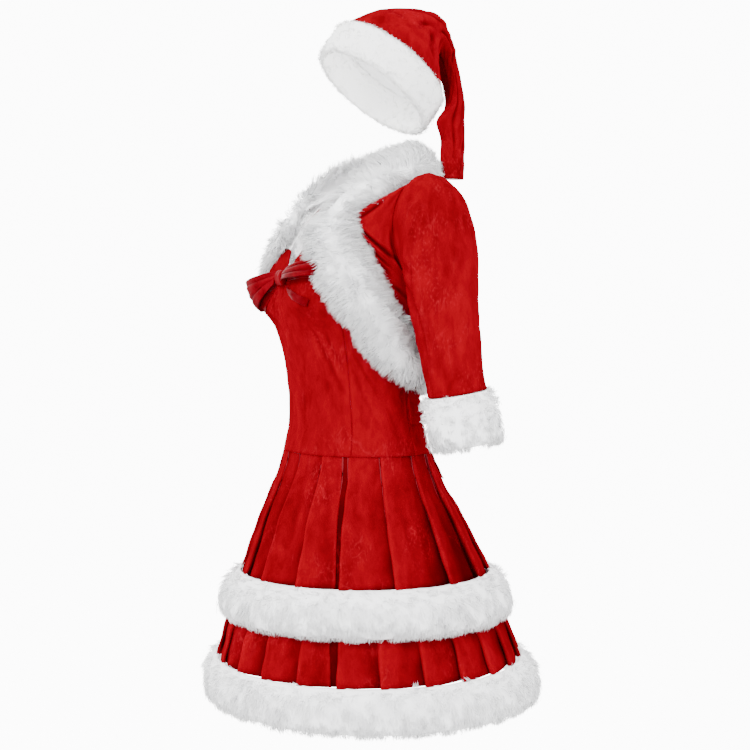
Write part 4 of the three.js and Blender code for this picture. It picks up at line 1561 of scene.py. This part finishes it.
COLLAR = Table("s x y z nx ny nz", (0, 0, 124, 36, 0, 0.8, 0.6), (0.2, 36, 112, 33, 0.3, 0.72, 0.62),
               (0.4, 66, 84, 24, 0.52, 0.5, 0.69), (0.6, 86, 42, 10, 0.62, 0.1, 0.78),
               (0.8, 92, -8, -14, 0.55, -0.35, 0.76), (0.92, 84, -50, -44, 0.45, -0.65, 0.61),
               (1, 69, -76, -74, 0.4, -0.83, 0.38))
BAND = Table("s angle z", (1, 27, -76), (1.15, 35, -102), (1.3, 44.5, -128), (1.45, 56, -161),
             (1.6, 66.5, -193), (1.75, 76, -228), (1.9, 89, -264), (2, 104, -285), (2.2, 125, -296),
             (2.5, 150, -303), (3, 180, -306), (3.2, 200, -304))


@dataclass(frozen=True)
class Trim:
    """The strip of fur that runs from the nape, down the front, under the arm and round the back."""

    base: float = 4.0
    half_width: float = 33.0
    height: float = 20.0

    def band(self, s: Array, side: Array, height: Array) -> Array:
        """A point where the trim lies on the body, from 1 at the collar's end to 3 at the middle back.

        Args:
            s: the place along.
            side: the distance across, in millimetres.
            height: the height over its base, in millimetres.

        Returns:
            The points, in millimetres.
        """
        row, ahead = BAND(s), BAND(s + 0.02)
        here = torso(row.angle, row.z)
        along = unit(torso(ahead.angle, ahead.z) - here)
        outward = unit(np.cross(normal_of(torso, row.angle, row.z), along))
        step = torso(row.angle + 1, row.z) - here
        turn = (outward * step).sum(-1) / (step * step).sum(-1)
        angle, z = row.angle + turn * side, row.z + outward[..., 2] * side
        return torso(angle, z) + normal_of(torso, angle, z) * (self.base + height)[..., None]

    def collar(self, s: Array, side: Array, height: Array) -> Array:
        """A point where the trim stands round the neck, from 0 at the nape to 1 at the collar's end.

        Args:
            s: the place along.
            side: the distance across, in millimetres.
            height: the height over its base, in millimetres.

        Returns:
            The points, in millimetres.
        """
        def at(k: Array) -> Array:
            """A point of the collar's middle line."""
            row = COLLAR(k)
            return points(row.x, row.y, row.z)

        row = COLLAR(s)
        normal = unit(points(row.nx, row.ny, row.nz))
        along = unit(at(np.minimum(s + 0.02, 1)) - at(np.maximum(s - 0.02, 0)))
        along = np.where((s < 0.01)[..., None], np.array((1.0, 0, 0)), along)
        outward = unit(np.cross(normal, along))
        place = at(s) + outward * side[..., None] + normal * height[..., None]
        ones = np.ones_like(s)
        end = self.band(ones, side, height) + at(s) - at(ones)
        return mix(place, end, smooth(s, 0.8, 1)[..., None])

    def point(self, s: Array, across: Array, height: Array) -> Array:
        """A point across the trim, from -1 at the wearer's edge to 1 at the cloth's edge.

        Args:
            s: the place along, below zero on the wearer's right and past 3 round the back.
            across: the place across.
            height: the height over the body, in millimetres.

        Returns:
            The points, in millimetres.
        """
        s, across, height = np.broadcast_arrays(*(np.asarray(x, float) for x in (s, across, height)))
        far = (s < 0) | (s > 3)
        k = np.where(s > 3, 6 - s, np.abs(s))
        side = across * self.half_width
        place = np.where((k < 1)[..., None], self.collar(np.minimum(k, 1), side, height),
                         self.band(np.maximum(k, 1), side, height))
        place[..., 0] *= np.where(far, -1, 1)
        return place


TRIM = Trim()
TRIM_OUTLINE = Outline((-1, 0), (-1, 0.35), (-0.72, 0.8), (-0.25, 1), (0.25, 1), (0.72, 0.8), (1, 0.45),
                       (1, 0), (0.5, 0), (0, 0), (-0.5, 0), pull=(0.35, 1))

SHOULDER_SHARE = 0.12
ARMPIT_SHARE = 0.62
NECK_SHARE = 0.55
SIDE_STOP = 1.92
ARMHOLE_GAP = -2.6
SHOULDER_GAP = 0.2
FRONT_EDGE = Table("v s bulge", (0, 0.55, 0), (0.12, 0.66, 1.5), (0.3, 0.98, 7), (0.42, 1.14, 8),
                   (0.52, 1.28, 5), (0.62, 1.44, 1), (0.8, 1.66, 1), (1, 1.86, 0))
BACK_LINE = Table("v y z", (0, 143, 9), (0.15, 143, -28), (0.35, 141, -85), (0.55, 137, -140),
                  (0.75, 127, -195), (1, 110, -268))
SLEEVE = Table("t ox oz ix iz y ry lean",
               (0, 140, -6, 148, -164, 42, 49, 0), (0.09, 166, 3, 150, -171, 47, 57, 0),
               (0.2, 196, -12, 151, -180, 51, 61, 0.02), (0.32, 215, -45, 150, -190, 54, 62, 0.05),
               (0.45, 226, -92, 147, -204, 57, 61, 0.08), (0.6, 233, -150, 144, -226, 60, 58, 0.1),
               (0.75, 238, -220, 144, -254, 65, 53, 0.14), (0.88, 242, -285, 150, -300, 71, 49, 0.16),
               (1, 246, -336, 156, -342, 76.5, 46, 0.16), (1.3, 258, -418, 168, -424, 88, 48, 0.16))


def cloth_edge(s: Array) -> Array:
    """The line where the bolero's cloth meets its trim."""
    clear = np.where(s < 1, 1.9, 0.8)
    return TRIM.point(s, 1 + clear / TRIM.half_width, BOLERO_LIFT - TRIM.base)


@dataclass
class Sleeve:
    """A sleeve with its cuff of fur.

    Each fold has its angle, the share at which it starts, its depth in millimetres and its width in
    degrees. The cuff's outline runs from under to proud of the cloth.
    """

    folds: tuple[tuple[float, float, float, float], ...] = (
        (262, 0.35, 5, 16), (305, 0.3, 4, 14), (60, 0.5, 4, 16), (215, 0.4, 4, 15))
    under: float = -4.0
    proud: float = 9.0
    length: float = 78.0
    slope: float = 82 / 0.3

    def surface(self, around: Array, t: Array) -> Array:
        """A point of the sleeve, from its outer side at 0 degrees by its back at 90 to its front at 270.

        Args:
            around: the angle round the arm, in degrees.
            t: the share from the shoulder seam at 0 to the cuff's seam at 1, and on under the cuff.

        Returns:
            The points, in millimetres.
        """
        around, t = np.broadcast_arrays(np.asarray(around, float), np.asarray(t, float))
        row = SLEEVE(t)
        turn = np.radians(around)
        share = (1 + np.cos(turn)) / 2
        y = row.ry * np.sin(turn)
        fold = np.zeros_like(y)
        for middle, start, deep, wide in self.folds:
            away = ((around % 360) - middle) / wide
            grow = smooth(t, start, start + 0.2) * (1 - smooth(t, 0.9, 1.02))
            fold = fold + deep * grow * np.exp(-away * away)
        shrink = 1 - fold / row.ry
        x = mix((row.ox + row.ix) / 2, mix(row.ix, row.ox, share), shrink)
        return points(x, row.y + y * shrink, mix(row.iz, row.oz, share) + row.lean * y)

    def creases(self) -> Folds:
        """Creases at the shoulder seam, pulls from the armpit and crush lines down the arm."""
        mine = (Crease(-30, 0.97, -15, 0.80, 1.3, 5), Crease(12, 0.98, 8, 0.84, 1.2, 5),
                Crease(-60, 0.92, -42, 0.76, 1.4, 5), Crease(-124, 0.62, -98, 0.30, 3.0, 8, 6),
                Crease(-114, 0.74, -74, 0.48, 2.6, 7, -5),
                Crease(-98, 0.40, -84, 0.12, 2.8, 8, 5), Crease(-60, 0.55, -38, 0.30, 2.0, 8, 4),
                Crease(-24, 0.60, -12, 0.34, 1.6, 9, -4), Crease(-72, 0.30, -58, 0.04, 2.0, 7, 4),
                Crease(-30, 0.26, -24, 0.04, 1.6, 8, 3), Crease(30, 0.7, 44, 0.4, 2.0, 9, 4),
                Crease(70, 0.5, 60, 0.14, 2.2, 9, -4), Crease(120, 0.7, 110, 0.4, 2.0, 8, 3),
                Crease(150, 0.5, 140, 0.16, 2.2, 8, 3), Crease(-160, 0.6, -154, 0.3, 2.0, 8, 3))
        return Folds(mine, 1.02, 330, 0.7, 74, 0.1)

    def build(self, finishes: Finishes) -> None:
        """Makes both sleeves and both cuffs.

        Args:
            finishes: the costume's materials.
        """
        gap = SEAM + 0.4
        level = Table("share t", (0, 1 + gap / self.slope), (1, 1 + (gap + self.length) / self.slope))
        outline = Outline((self.under / 2, 0), (5, 0), (self.proud, 0.15), (self.proud + 1, 0.5),
                          (self.proud, 0.86), (3, 1), (self.under / 2, 0.98), (self.under, 0.5),
                          pull=(1, 0.15))
        for way in Side:
            label = way.name.lower()
            flip = way is Side.RIGHT
            panel = Panel(f"arm_{label}", lambda u, v: self.surface(u, 1 - v), (-180, 180), (0, 1), 104, 76,
                          self.creases(), (1.5, 0.006), 0.0, (0, 0, -0.02, -0.03), closed=True, mirror=flip)
            made = panel.build([finishes.velvet, finishes.red_lining])
            piece = settle(made, [f"sleeve_{label}"])

            def place(around: Array, offset: Array, share: Array, sign: int = way.value) -> Array:
                """A point at a distance from the sleeve, over the cuff's length.

                Args:
                    around: the angle round the arm, in degrees.
                    offset: the distance out, in millimetres.
                    share: the share from the cuff's top edge to its lower one.
                    sign: the sign of X.

                Returns:
                    The points, in millimetres.
                """
                outward = points(np.cos(np.radians(around)), np.sin(np.radians(around)), 0)
                spot = self.surface(around, level(share).t) + outward * offset[..., None]
                spot[..., 0] *= sign
                return spot

            cuff = Fur(f"fur_wrist_{label}", f"fur_cuff_{label}", place, outline, (0, 360), True, 90, 640,
                       (0.13, 0.7), 8, (0.085, 0.33), down, scatter=3.8, body=0.74, lean=(0.75, 0.6, 0.26),
                       seed=21 + way.value)
            cuff.build(finishes.fur)


@dataclass
class Bolero:
    """The cropped jacket: two fronts, a back and the fur that edges it."""

    sleeve: Sleeve

    def side_line(self, v: Array, front: bool) -> Array:
        """The line where front and back meet: the shoulder seam, the armhole and the side seam in turn.

        Args:
            v: the share from the neck at 0 to the lower edge at 1.
            front: whether the line is the front's or the back's.

        Returns:
            The points, in millimetres.
        """
        v = np.asarray(v, float)
        step = -SHOULDER_GAP if front else SHOULDER_GAP
        gap = np.array((-ARMHOLE_GAP, 0, 0))
        zeros = np.zeros_like(v)
        start = cloth_edge(zeros + NECK_SHARE)
        end = self.sleeve.surface(zeros, zeros) + gap
        shoulder = mix(start, end, (v / SHOULDER_SHARE)[..., None])
        turn = 180 * np.clip((v - SHOULDER_SHARE) / (ARMPIT_SHARE - SHOULDER_SHARE), 0, 1)
        arm = self.sleeve.surface(360 - turn if front else turn, zeros) + gap
        armpit = self.sleeve.surface(zeros + 180, zeros) + gap
        low = cloth_edge(zeros + SIDE_STOP + step * 0.005)
        share = np.clip((v - ARMPIT_SHARE) / (1 - ARMPIT_SHARE), 0, 1)[..., None]
        side = mix(armpit, low, share)
        shift = np.array((0, step / 2, 0))
        return np.where((v <= SHOULDER_SHARE)[..., None], shoulder + shift,
                        np.where((v <= ARMPIT_SHARE)[..., None], arm + shift, side + shift * (1 - share)))

    def front(self, u: Array, v: Array) -> Array:
        """A point of the left front, from its trim at 0 to its side line at 1.

        Args:
            u: the share from the trim to the side line.
            v: the share from the lower edge to the neck.

        Returns:
            The points, in millimetres.
        """
        v = 1 - v
        row = FRONT_EDGE(v)
        edge = cloth_edge(row.s)
        side = self.side_line(v, True)
        outward = unit(points(side[..., 0] + edge[..., 0], side[..., 1] + edge[..., 1] - 80, 60.0))
        return mix(edge, side, u[..., None]) + outward * (row.bulge * 4 * u * (1 - u))[..., None]

    def back(self, u: Array, v: Array) -> Array:
        """A point of the back, from its left side line at -1 to its right one at 1.

        Args:
            u: the place across.
            v: the share from the lower edge to the neck.

        Returns:
            The points, in millimetres.
        """
        v = 1 - v
        across = np.abs(u)
        turn = np.clip(across, 0, 1) * np.pi / 2
        side = self.side_line(v, False)
        centre = BACK_LINE(v)
        cos = np.maximum(np.cos(turn), 0)
        place = points(side[..., 0] * np.sin(turn), mix(side[..., 1], centre.y, cos**0.75),
                       mix(side[..., 2], centre.z, cos))
        neck = cloth_edge(NECK_SHARE * across) + points(0, SHOULDER_GAP / 2 * across, 0)
        hem = cloth_edge(mix(3, SIDE_STOP + 0.003, across))
        place = mix(place, neck, (np.maximum(0, 1 - v / 0.22) ** 2)[..., None])
        place = mix(place, hem, (np.maximum(0, (v - 0.72) / 0.28) ** 2)[..., None])
        place[..., 0] *= np.where(u > 0, -1, 1)
        return place

    def front_folds(self) -> Folds:
        """Folds that fan out from the place where the collar and the band meet."""
        mine = (Crease(0.02, 0.66, 0.60, 0.73, 3.4, 3.6, -2), Crease(0.03, 0.635, 0.97, 0.52, 4.6, 4.2, -9),
                Crease(0.06, 0.615, 0.60, 0.50, -2.6, 3.2, -5), Crease(0.06, 0.60, 0.55, 0.42, 3.4, 3.6, -5),
                Crease(0.10, 0.575, 0.40, 0.34, 2.6, 3.6, -3), Crease(0.10, 0.70, 0.8, 0.82, 2.6, 4.0, 3),
                Crease(0.30, 0.90, 0.98, 0.87, 2.6, 4.0, 3), Crease(0.45, 0.80, 0.97, 0.77, -2.0, 4.0),
                Crease(0.96, 0.62, 0.94, 0.38, 2.8, 5.0), Crease(0.3, 0.3, 0.9, 0.2, 2.0, 5.0))
        return Folds(mine, 62, 270, 0.7, 48, 0.3)

    def back_folds(self) -> Folds:
        """Soft folds across the shoulders and down the back."""
        mine = (Crease(-0.85, 0.8, -0.4, 0.5, 2.6, 9, 5), Crease(0.85, 0.8, 0.42, 0.5, 2.6, 9, -5),
                Crease(-0.8, 0.55, -0.5, 0.25, 2.4, 9, 4), Crease(0.8, 0.55, 0.5, 0.25, 2.4, 9, -4),
                Crease(-0.12, 0.7, -0.1, 0.2, 1.8, 12, 4), Crease(0.2, 0.72, 0.16, 0.3, 1.6, 12, 3),
                Crease(-0.6, 0.95, -0.75, 0.86, 1.6, 6), Crease(0.6, 0.95, 0.75, 0.86, 1.6, 6))
        return Folds(mine, 145, 280, 0.9, 86)

    def comb(self, s: Array, c: Array) -> Array:
        """The lie of the trim's pile: away from its middle line and down.

        Args:
            s: the place along the trim.
            c: the share round its outline.

        Returns:
            The directions.
        """
        sign = np.where(c < 0.36, -1.0, 1.0)
        here = TRIM.point(s, np.zeros_like(s), np.full_like(s, 10.0))
        there = TRIM.point(s, sign, np.full_like(s, 10.0))
        return unit(unit(there - here) * 0.9 + np.array((0, 0, -0.45)))

    def build(self, finishes: Finishes) -> None:
        """Makes the cloth and the trim.

        Args:
            finishes: the costume's materials.
        """
        for way in Side:
            label = way.name.lower()
            panel = Panel(f"jacket_front_{label}", self.front, (0, 1), (0, 0.992), 48, 96,
                          self.front_folds(), (0.012, 0.006), 0.0, (0.02, 0.05, -0.02, -0.01),
                          mirror=way is Side.RIGHT)
            made = panel.build([finishes.velvet, finishes.pale_lining])
            piece = settle(made, [f"bolero_front_{label}"])
        back = Panel("jacket_back", self.back, (-1, 1), (0, 1), 96, 56, self.back_folds(), (0.006, 0.006),
                     0.0, (0.02, 0.02, -0.02, -0.02))
        piece = settle(back.build([finishes.velvet, finishes.pale_lining]), ["bolero_back"])
        mirrored = np.array((-1.0, 1, 1))

        def place(s: Array, across: Array, up: Array) -> Array:
            """A point of the trim at a share of its height."""
            return TRIM.point(s, across, up * TRIM.height)

        def place_right(s: Array, across: Array, up: Array) -> Array:
            """The same point on the wearer's right."""
            return place(s, across, up) * mirrored

        def comb_right(s: Array, c: Array) -> Array:
            """The lie of the pile on the wearer's right."""
            return self.comb(s, c) * mirrored

        def grow(s: Array, c: Array) -> Array:
            """The pile's length, longer over the wearer's side of the collar and the upper band."""
            near = np.where(s < 1, smooth(np.abs(s), 0.35, 0.75), 1 - smooth(s, 1.05, 1.3))
            return 1 + 0.75 * near * (1 - smooth(c, 0.12, 0.3))

        common = dict(outline=TRIM_OUTLINE, closed=False, shown=(-0.02, 0.68), pile=17, grow=grow)
        Fur("fur_neck", "fur_collar", place, span=(-0.998, 0.998), columns=130, tufts=1750,
            flat=(0.075, 0.52), comb=self.comb, seed=31, **common).build(finishes.fur)
        Fur("fur_edge_left", "fur_band_left", place, span=(1.002, 1.998), columns=80, tufts=980,
            flat=(0.075, 0.3), comb=self.comb, seed=32, **common).build(finishes.fur)
        Fur("fur_edge_right", "fur_band_right", place_right, span=(1.002, 1.998), columns=80, tufts=980,
            flat=(0.075, 0.3), comb=comb_right, seed=33, **common).build(finishes.fur)
        Fur("fur_edge_back", "fur_band_back", place, span=(2.002, 3.998), columns=80, tufts=900,
            flat=(0.075, 0.34), comb=self.comb, seed=34, **common).build(finishes.fur)


# The hat


@dataclass
class Hat:
    """The folded hat: a crown that falls back into a hanging tail, on a plush brim."""

    tilt: float = 36
    half_width: float = 80
    half_length: float = 100
    height: float = 60
    plush: float = 10
    y: float = 36
    z: float = 152
    growth: float = 5

    def ring(self, up: Array, growth: Array, around: Array) -> Array:
        """A point of the brim's oval at a height along its axis.

        Args:
            up: the height along the axis, in millimetres.
            growth: the distance outside the oval.
            around: the angle round, in degrees, with 0 at the front.

        Returns:
            The points, in millimetres.
        """
        up, growth, around = np.broadcast_arrays(*(np.asarray(x, float) for x in (up, growth, around)))
        tilt, turn = math.radians(self.tilt), np.radians(around)
        axis = np.array((0, math.sin(tilt), math.cos(tilt)))
        front = np.array((0, -math.cos(tilt), math.sin(tilt)))
        return (np.array((0, self.y, self.z)) + axis * up[..., None]
                + np.array((1.0, 0, 0)) * ((self.half_width + growth) * np.sin(turn))[..., None]
                + front * ((self.half_length + growth) * np.cos(turn))[..., None])

    def rows(self) -> Table:
        """The rings of the crown: top and under point, middle and half width in X.

        Returns:
            The table of rings.
        """
        front = self.ring(self.height + SEAM, self.growth, 0.0)
        nape = self.ring(self.height + SEAM, self.growth, 180.0)
        return Table("t ty tz uy uz x half",
                     (0, front[1], front[2], nape[1], nape[2], 0, self.half_width + self.growth),
                     (0.06, 6, 272, 154, 152, 0, 86), (0.13, 36, 287, 150, 170, 1, 79),
                     (0.21, 80, 295, 147, 190, 3, 62), (0.29, 122, 296, 146, 208, 6, 46),
                     (0.36, 152, 287, 149, 220, 9, 34), (0.43, 169, 259, 154, 218, 12, 30),
                     (0.51, 181, 226, 159, 206, 15, 27), (0.6, 189, 185, 165, 181, 20, 24),
                     (0.7, 195, 140, 169, 138, 27, 20), (0.8, 191, 92, 151, 91, 39, 16),
                     (0.9, 182, 46, 138, 46, 53, 13), (1, 174, 8, 132, 8, 64, 11))

    def folds(self) -> Folds:
        """The folds of the crown where it falls over, and those down the tail."""
        mine = (Crease(20, 0.20, 60, 0.34, 2.6, 8, 5), Crease(70, 0.16, 75, 0.32, 3.0, 8, 5),
                Crease(110, 0.10, 86, 0.30, 3.0, 8, 5), Crease(50, 0.30, 66, 0.46, 3.4, 6, 3),
                Crease(90, 0.30, 84, 0.52, 3.2, 6, 3), Crease(140, 0.18, 110, 0.36, 2.8, 8, 5),
                Crease(70, 0.5, 78, 0.78, 2.4, 5, 3), Crease(110, 0.56, 104, 0.9, 2.6, 5, 3),
                Crease(40, 0.6, 60, 0.95, 2.2, 5), Crease(290, 0.2, 270, 0.4, 3.0, 8, 5),
                Crease(250, 0.4, 262, 0.7, 2.6, 6), Crease(300, 0.5, 290, 0.85, 2.4, 6),
                Crease(-20, 0.24, 10, 0.4, 2.6, 8), Crease(160, 0.4, 170, 0.7, 2.4, 7),
                Crease(0, 0.335, 112, 0.52, 5.5, 4.5, 6), Crease(10, 0.31, 90, 0.43, -3, 5, 6))
        return Folds(mine, 1.0, 420, 0.7, 60, 0.25)

    def build(self, finishes: Finishes) -> None:
        """Makes the crown and the brim.

        Args:
            finishes: the costume's materials.
        """
        rows = self.rows()

        def crown(around: Array, t: Array) -> Array:
            """A point of the crown, whose tail is fuller where it passes the brim and has a flap below that.

            Args:
                around: the angle round its rings, in degrees.
                t: the share from the brim to the tail's end.

            Returns:
                The points, in millimetres.
            """
            around, t = np.broadcast_arrays(around, t)
            row = rows(t)
            share = (1 + np.cos(np.radians(around))) / 2
            near = np.maximum(0, np.cos(np.radians(around - 150)))
            fill = near * np.exp(-(((t - 0.7) / 0.07) ** 2))
            flap = near ** 3 * np.exp(-(((t - 0.77) / 0.05) ** 2))
            x = row.x + row.half * np.sin(np.radians(around)) + 8 * fill + 18 * flap
            y = mix(row.uy, row.ty, share) - 9 * fill - 32 * flap
            return points(x, y, mix(row.uz, row.tz, share) - 4 * flap)

        panel = Panel("hat_cloth", crown, (-180, 180), (0, 1), 84, 104, self.folds(), (1.5, 0.004), 0.0,
                      (0, 0, -0.03, -0.02), closed=True)
        piece = settle(panel.build([finishes.velvet, finishes.pale_lining]), ["hat_crown"])

        def place(around: Array, growth: Array, up: Array) -> Array:
            """A point of the brim."""
            return self.ring(up, growth, around)

        def comb(s: Array, c: Array) -> Array:
            """The lie of the plush, forward and down."""
            return np.tile((0.0, -0.3, -0.5), (len(s), 1))

        outline = Outline((0, 2), (-1, self.height / 2), (1.5, self.height), (8, self.height),
                          (self.plush, self.height - 6), (self.plush + 1, self.height / 2),
                          (self.plush, 6), (6, 0), pull=(1, 0.1))
        brim = Fur("plush_brim", "hat_band", place, outline, (0, 360), True, 120, 2400, (0.0, 1.0), 2.4,
                   (0.068, 0.59), comb, slot="plush", strands=8, scatter=2.8, width=0.6, body=0.94,
                   lean=(0.8, 0.4, 0.6), seed=41)
        brim.build(finishes.plush)


# Studio


@dataclass
class Studio:
    """A pale floor and wall, soft light from all round, two large lamps, two small ones, and the camera."""

    floor_z: float = -1.45
    azimuth: float = 62
    distance: float = 2.28
    camera_z: float = -0.221
    lens: float = 66.3
    sensor: float = 36
    shift: tuple[float, float] = (22 / 750, -58 / 750)
    aim_z: float = -0.3
    glow: float = 9.0
    light: float = 3.0
    radius: float = 14.0

    def floor(self, a: Array, b: Array) -> Array:
        """A point of the round pale floor, in millimetres."""
        turn, reach = a * 2 * np.pi, b * self.radius / MM
        return points(reach * np.cos(turn), reach * np.sin(turn), self.floor_z / MM)

    def wall(self, a: Array, b: Array) -> Array:
        """A point of the wall that rises from the floor's rim and closes overhead, in millimetres.

        Args:
            a: the share of the way round.
            b: the share of the way up.

        Returns:
            The points.
        """
        turn, rise = a * 2 * np.pi, b * np.pi / 2
        reach = self.radius / MM * np.cos(rise) ** 0.3
        return points(reach * np.cos(turn), reach * np.sin(turn),
                      self.floor_z / MM + self.radius / MM * np.sin(rise) ** 1.5)

    def build(self) -> None:
        """Makes the floor, the light and the camera."""
        sweep = Sweep("pale_sweep", self.glow).build()
        for name, at in (("studio_floor", self.floor), ("studio_wall", self.wall)):
            piece = object_of(name, grid_mesh(name, 64, 8, at), [sweep])
            piece.visible_diffuse = piece.visible_glossy = piece.visible_shadow = False
        world = bpy.data.worlds.new("studio")
        world.use_nodes = True
        world.node_tree.nodes["Background"].inputs["Color"].default_value = (1, 1, 1, 1)
        world.node_tree.nodes["Background"].inputs["Strength"].default_value = self.light
        bpy.context.scene.world = world
        turn = math.radians(self.azimuth)
        back = np.array((math.sin(turn), -math.cos(turn), 0.0))
        right = np.array((math.cos(turn), math.sin(turn), 0.0))
        self.lamp("key", back * 2.4 - right * 1.7 + np.array((0, 0, 1.8)), power=155, size=1.0)
        self.lamp("fill", back * 2.2 + right * 2.0 + np.array((0, 0, 0.6)), power=34, size=1.5)
        self.glow_inside("inside_chest", (-0.03, -0.01, -0.11), power=0.8)
        self.glow_inside("inside_hat", (0.0, 0.03, 0.17), power=0.3)
        camera = bpy.data.cameras.new("camera")
        camera.sensor_width = self.sensor
        camera.lens = self.lens
        camera.shift_x, camera.shift_y = self.shift
        camera.clip_end = 100
        eye = bpy.data.objects.new("camera", camera)
        eye.location = tuple(back[:2] * self.distance) + (self.camera_z,)
        eye.rotation_euler = (math.pi / 2, 0, turn)
        bpy.context.scene.collection.objects.link(eye)
        bpy.context.scene.camera = eye

    def glow_inside(self, name: str, place: tuple[float, float, float], power: float) -> None:
        """Adds a small lamp inside the costume, so that its lining shows pale in its openings.

        Args:
            name: the lamp's name.
            place: where it is, in metres.
            power: its power in watts.
        """
        light = bpy.data.lights.new(name, "POINT")
        light.energy = power
        light.shadow_soft_size = 0.03
        made = bpy.data.objects.new(name, light)
        made.location = place
        made.visible_camera = False
        bpy.context.scene.collection.objects.link(made)

    def lamp(self, name: str, place: Array, power: float, size: float) -> None:
        """Adds one large soft lamp that faces the costume.

        Args:
            name: the lamp's name.
            place: where it stands, in metres.
            power: its power in watts.
            size: its width in metres.
        """
        light = bpy.data.lights.new(name, "AREA")
        light.energy = power
        light.shape = "DISK"
        light.size = size
        made = bpy.data.objects.new(name, light)
        made.location = tuple(place)
        x, y, z = np.array((0, 0, self.aim_z)) - place
        made.rotation_euler = (math.atan2(math.hypot(x, y), -z), 0, math.atan2(-x, y))
        bpy.context.scene.collection.objects.link(made)


def main() -> None:
    """Builds the studio and every piece in order."""
    logging.basicConfig(level=logging.INFO, format="%(message)s")
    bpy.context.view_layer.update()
    finishes = Finishes()
    Studio().build()
    Bodice().build(finishes)
    Straps().build(finishes)
    Bow().build(finishes)
    Sash().build(finishes)
    Skirt().build(finishes)
    sleeve = Sleeve()
    sleeve.build(finishes)
    Bolero(sleeve).build(finishes)
    Hat().build(finishes)


if __name__ == "__main__":
    main()
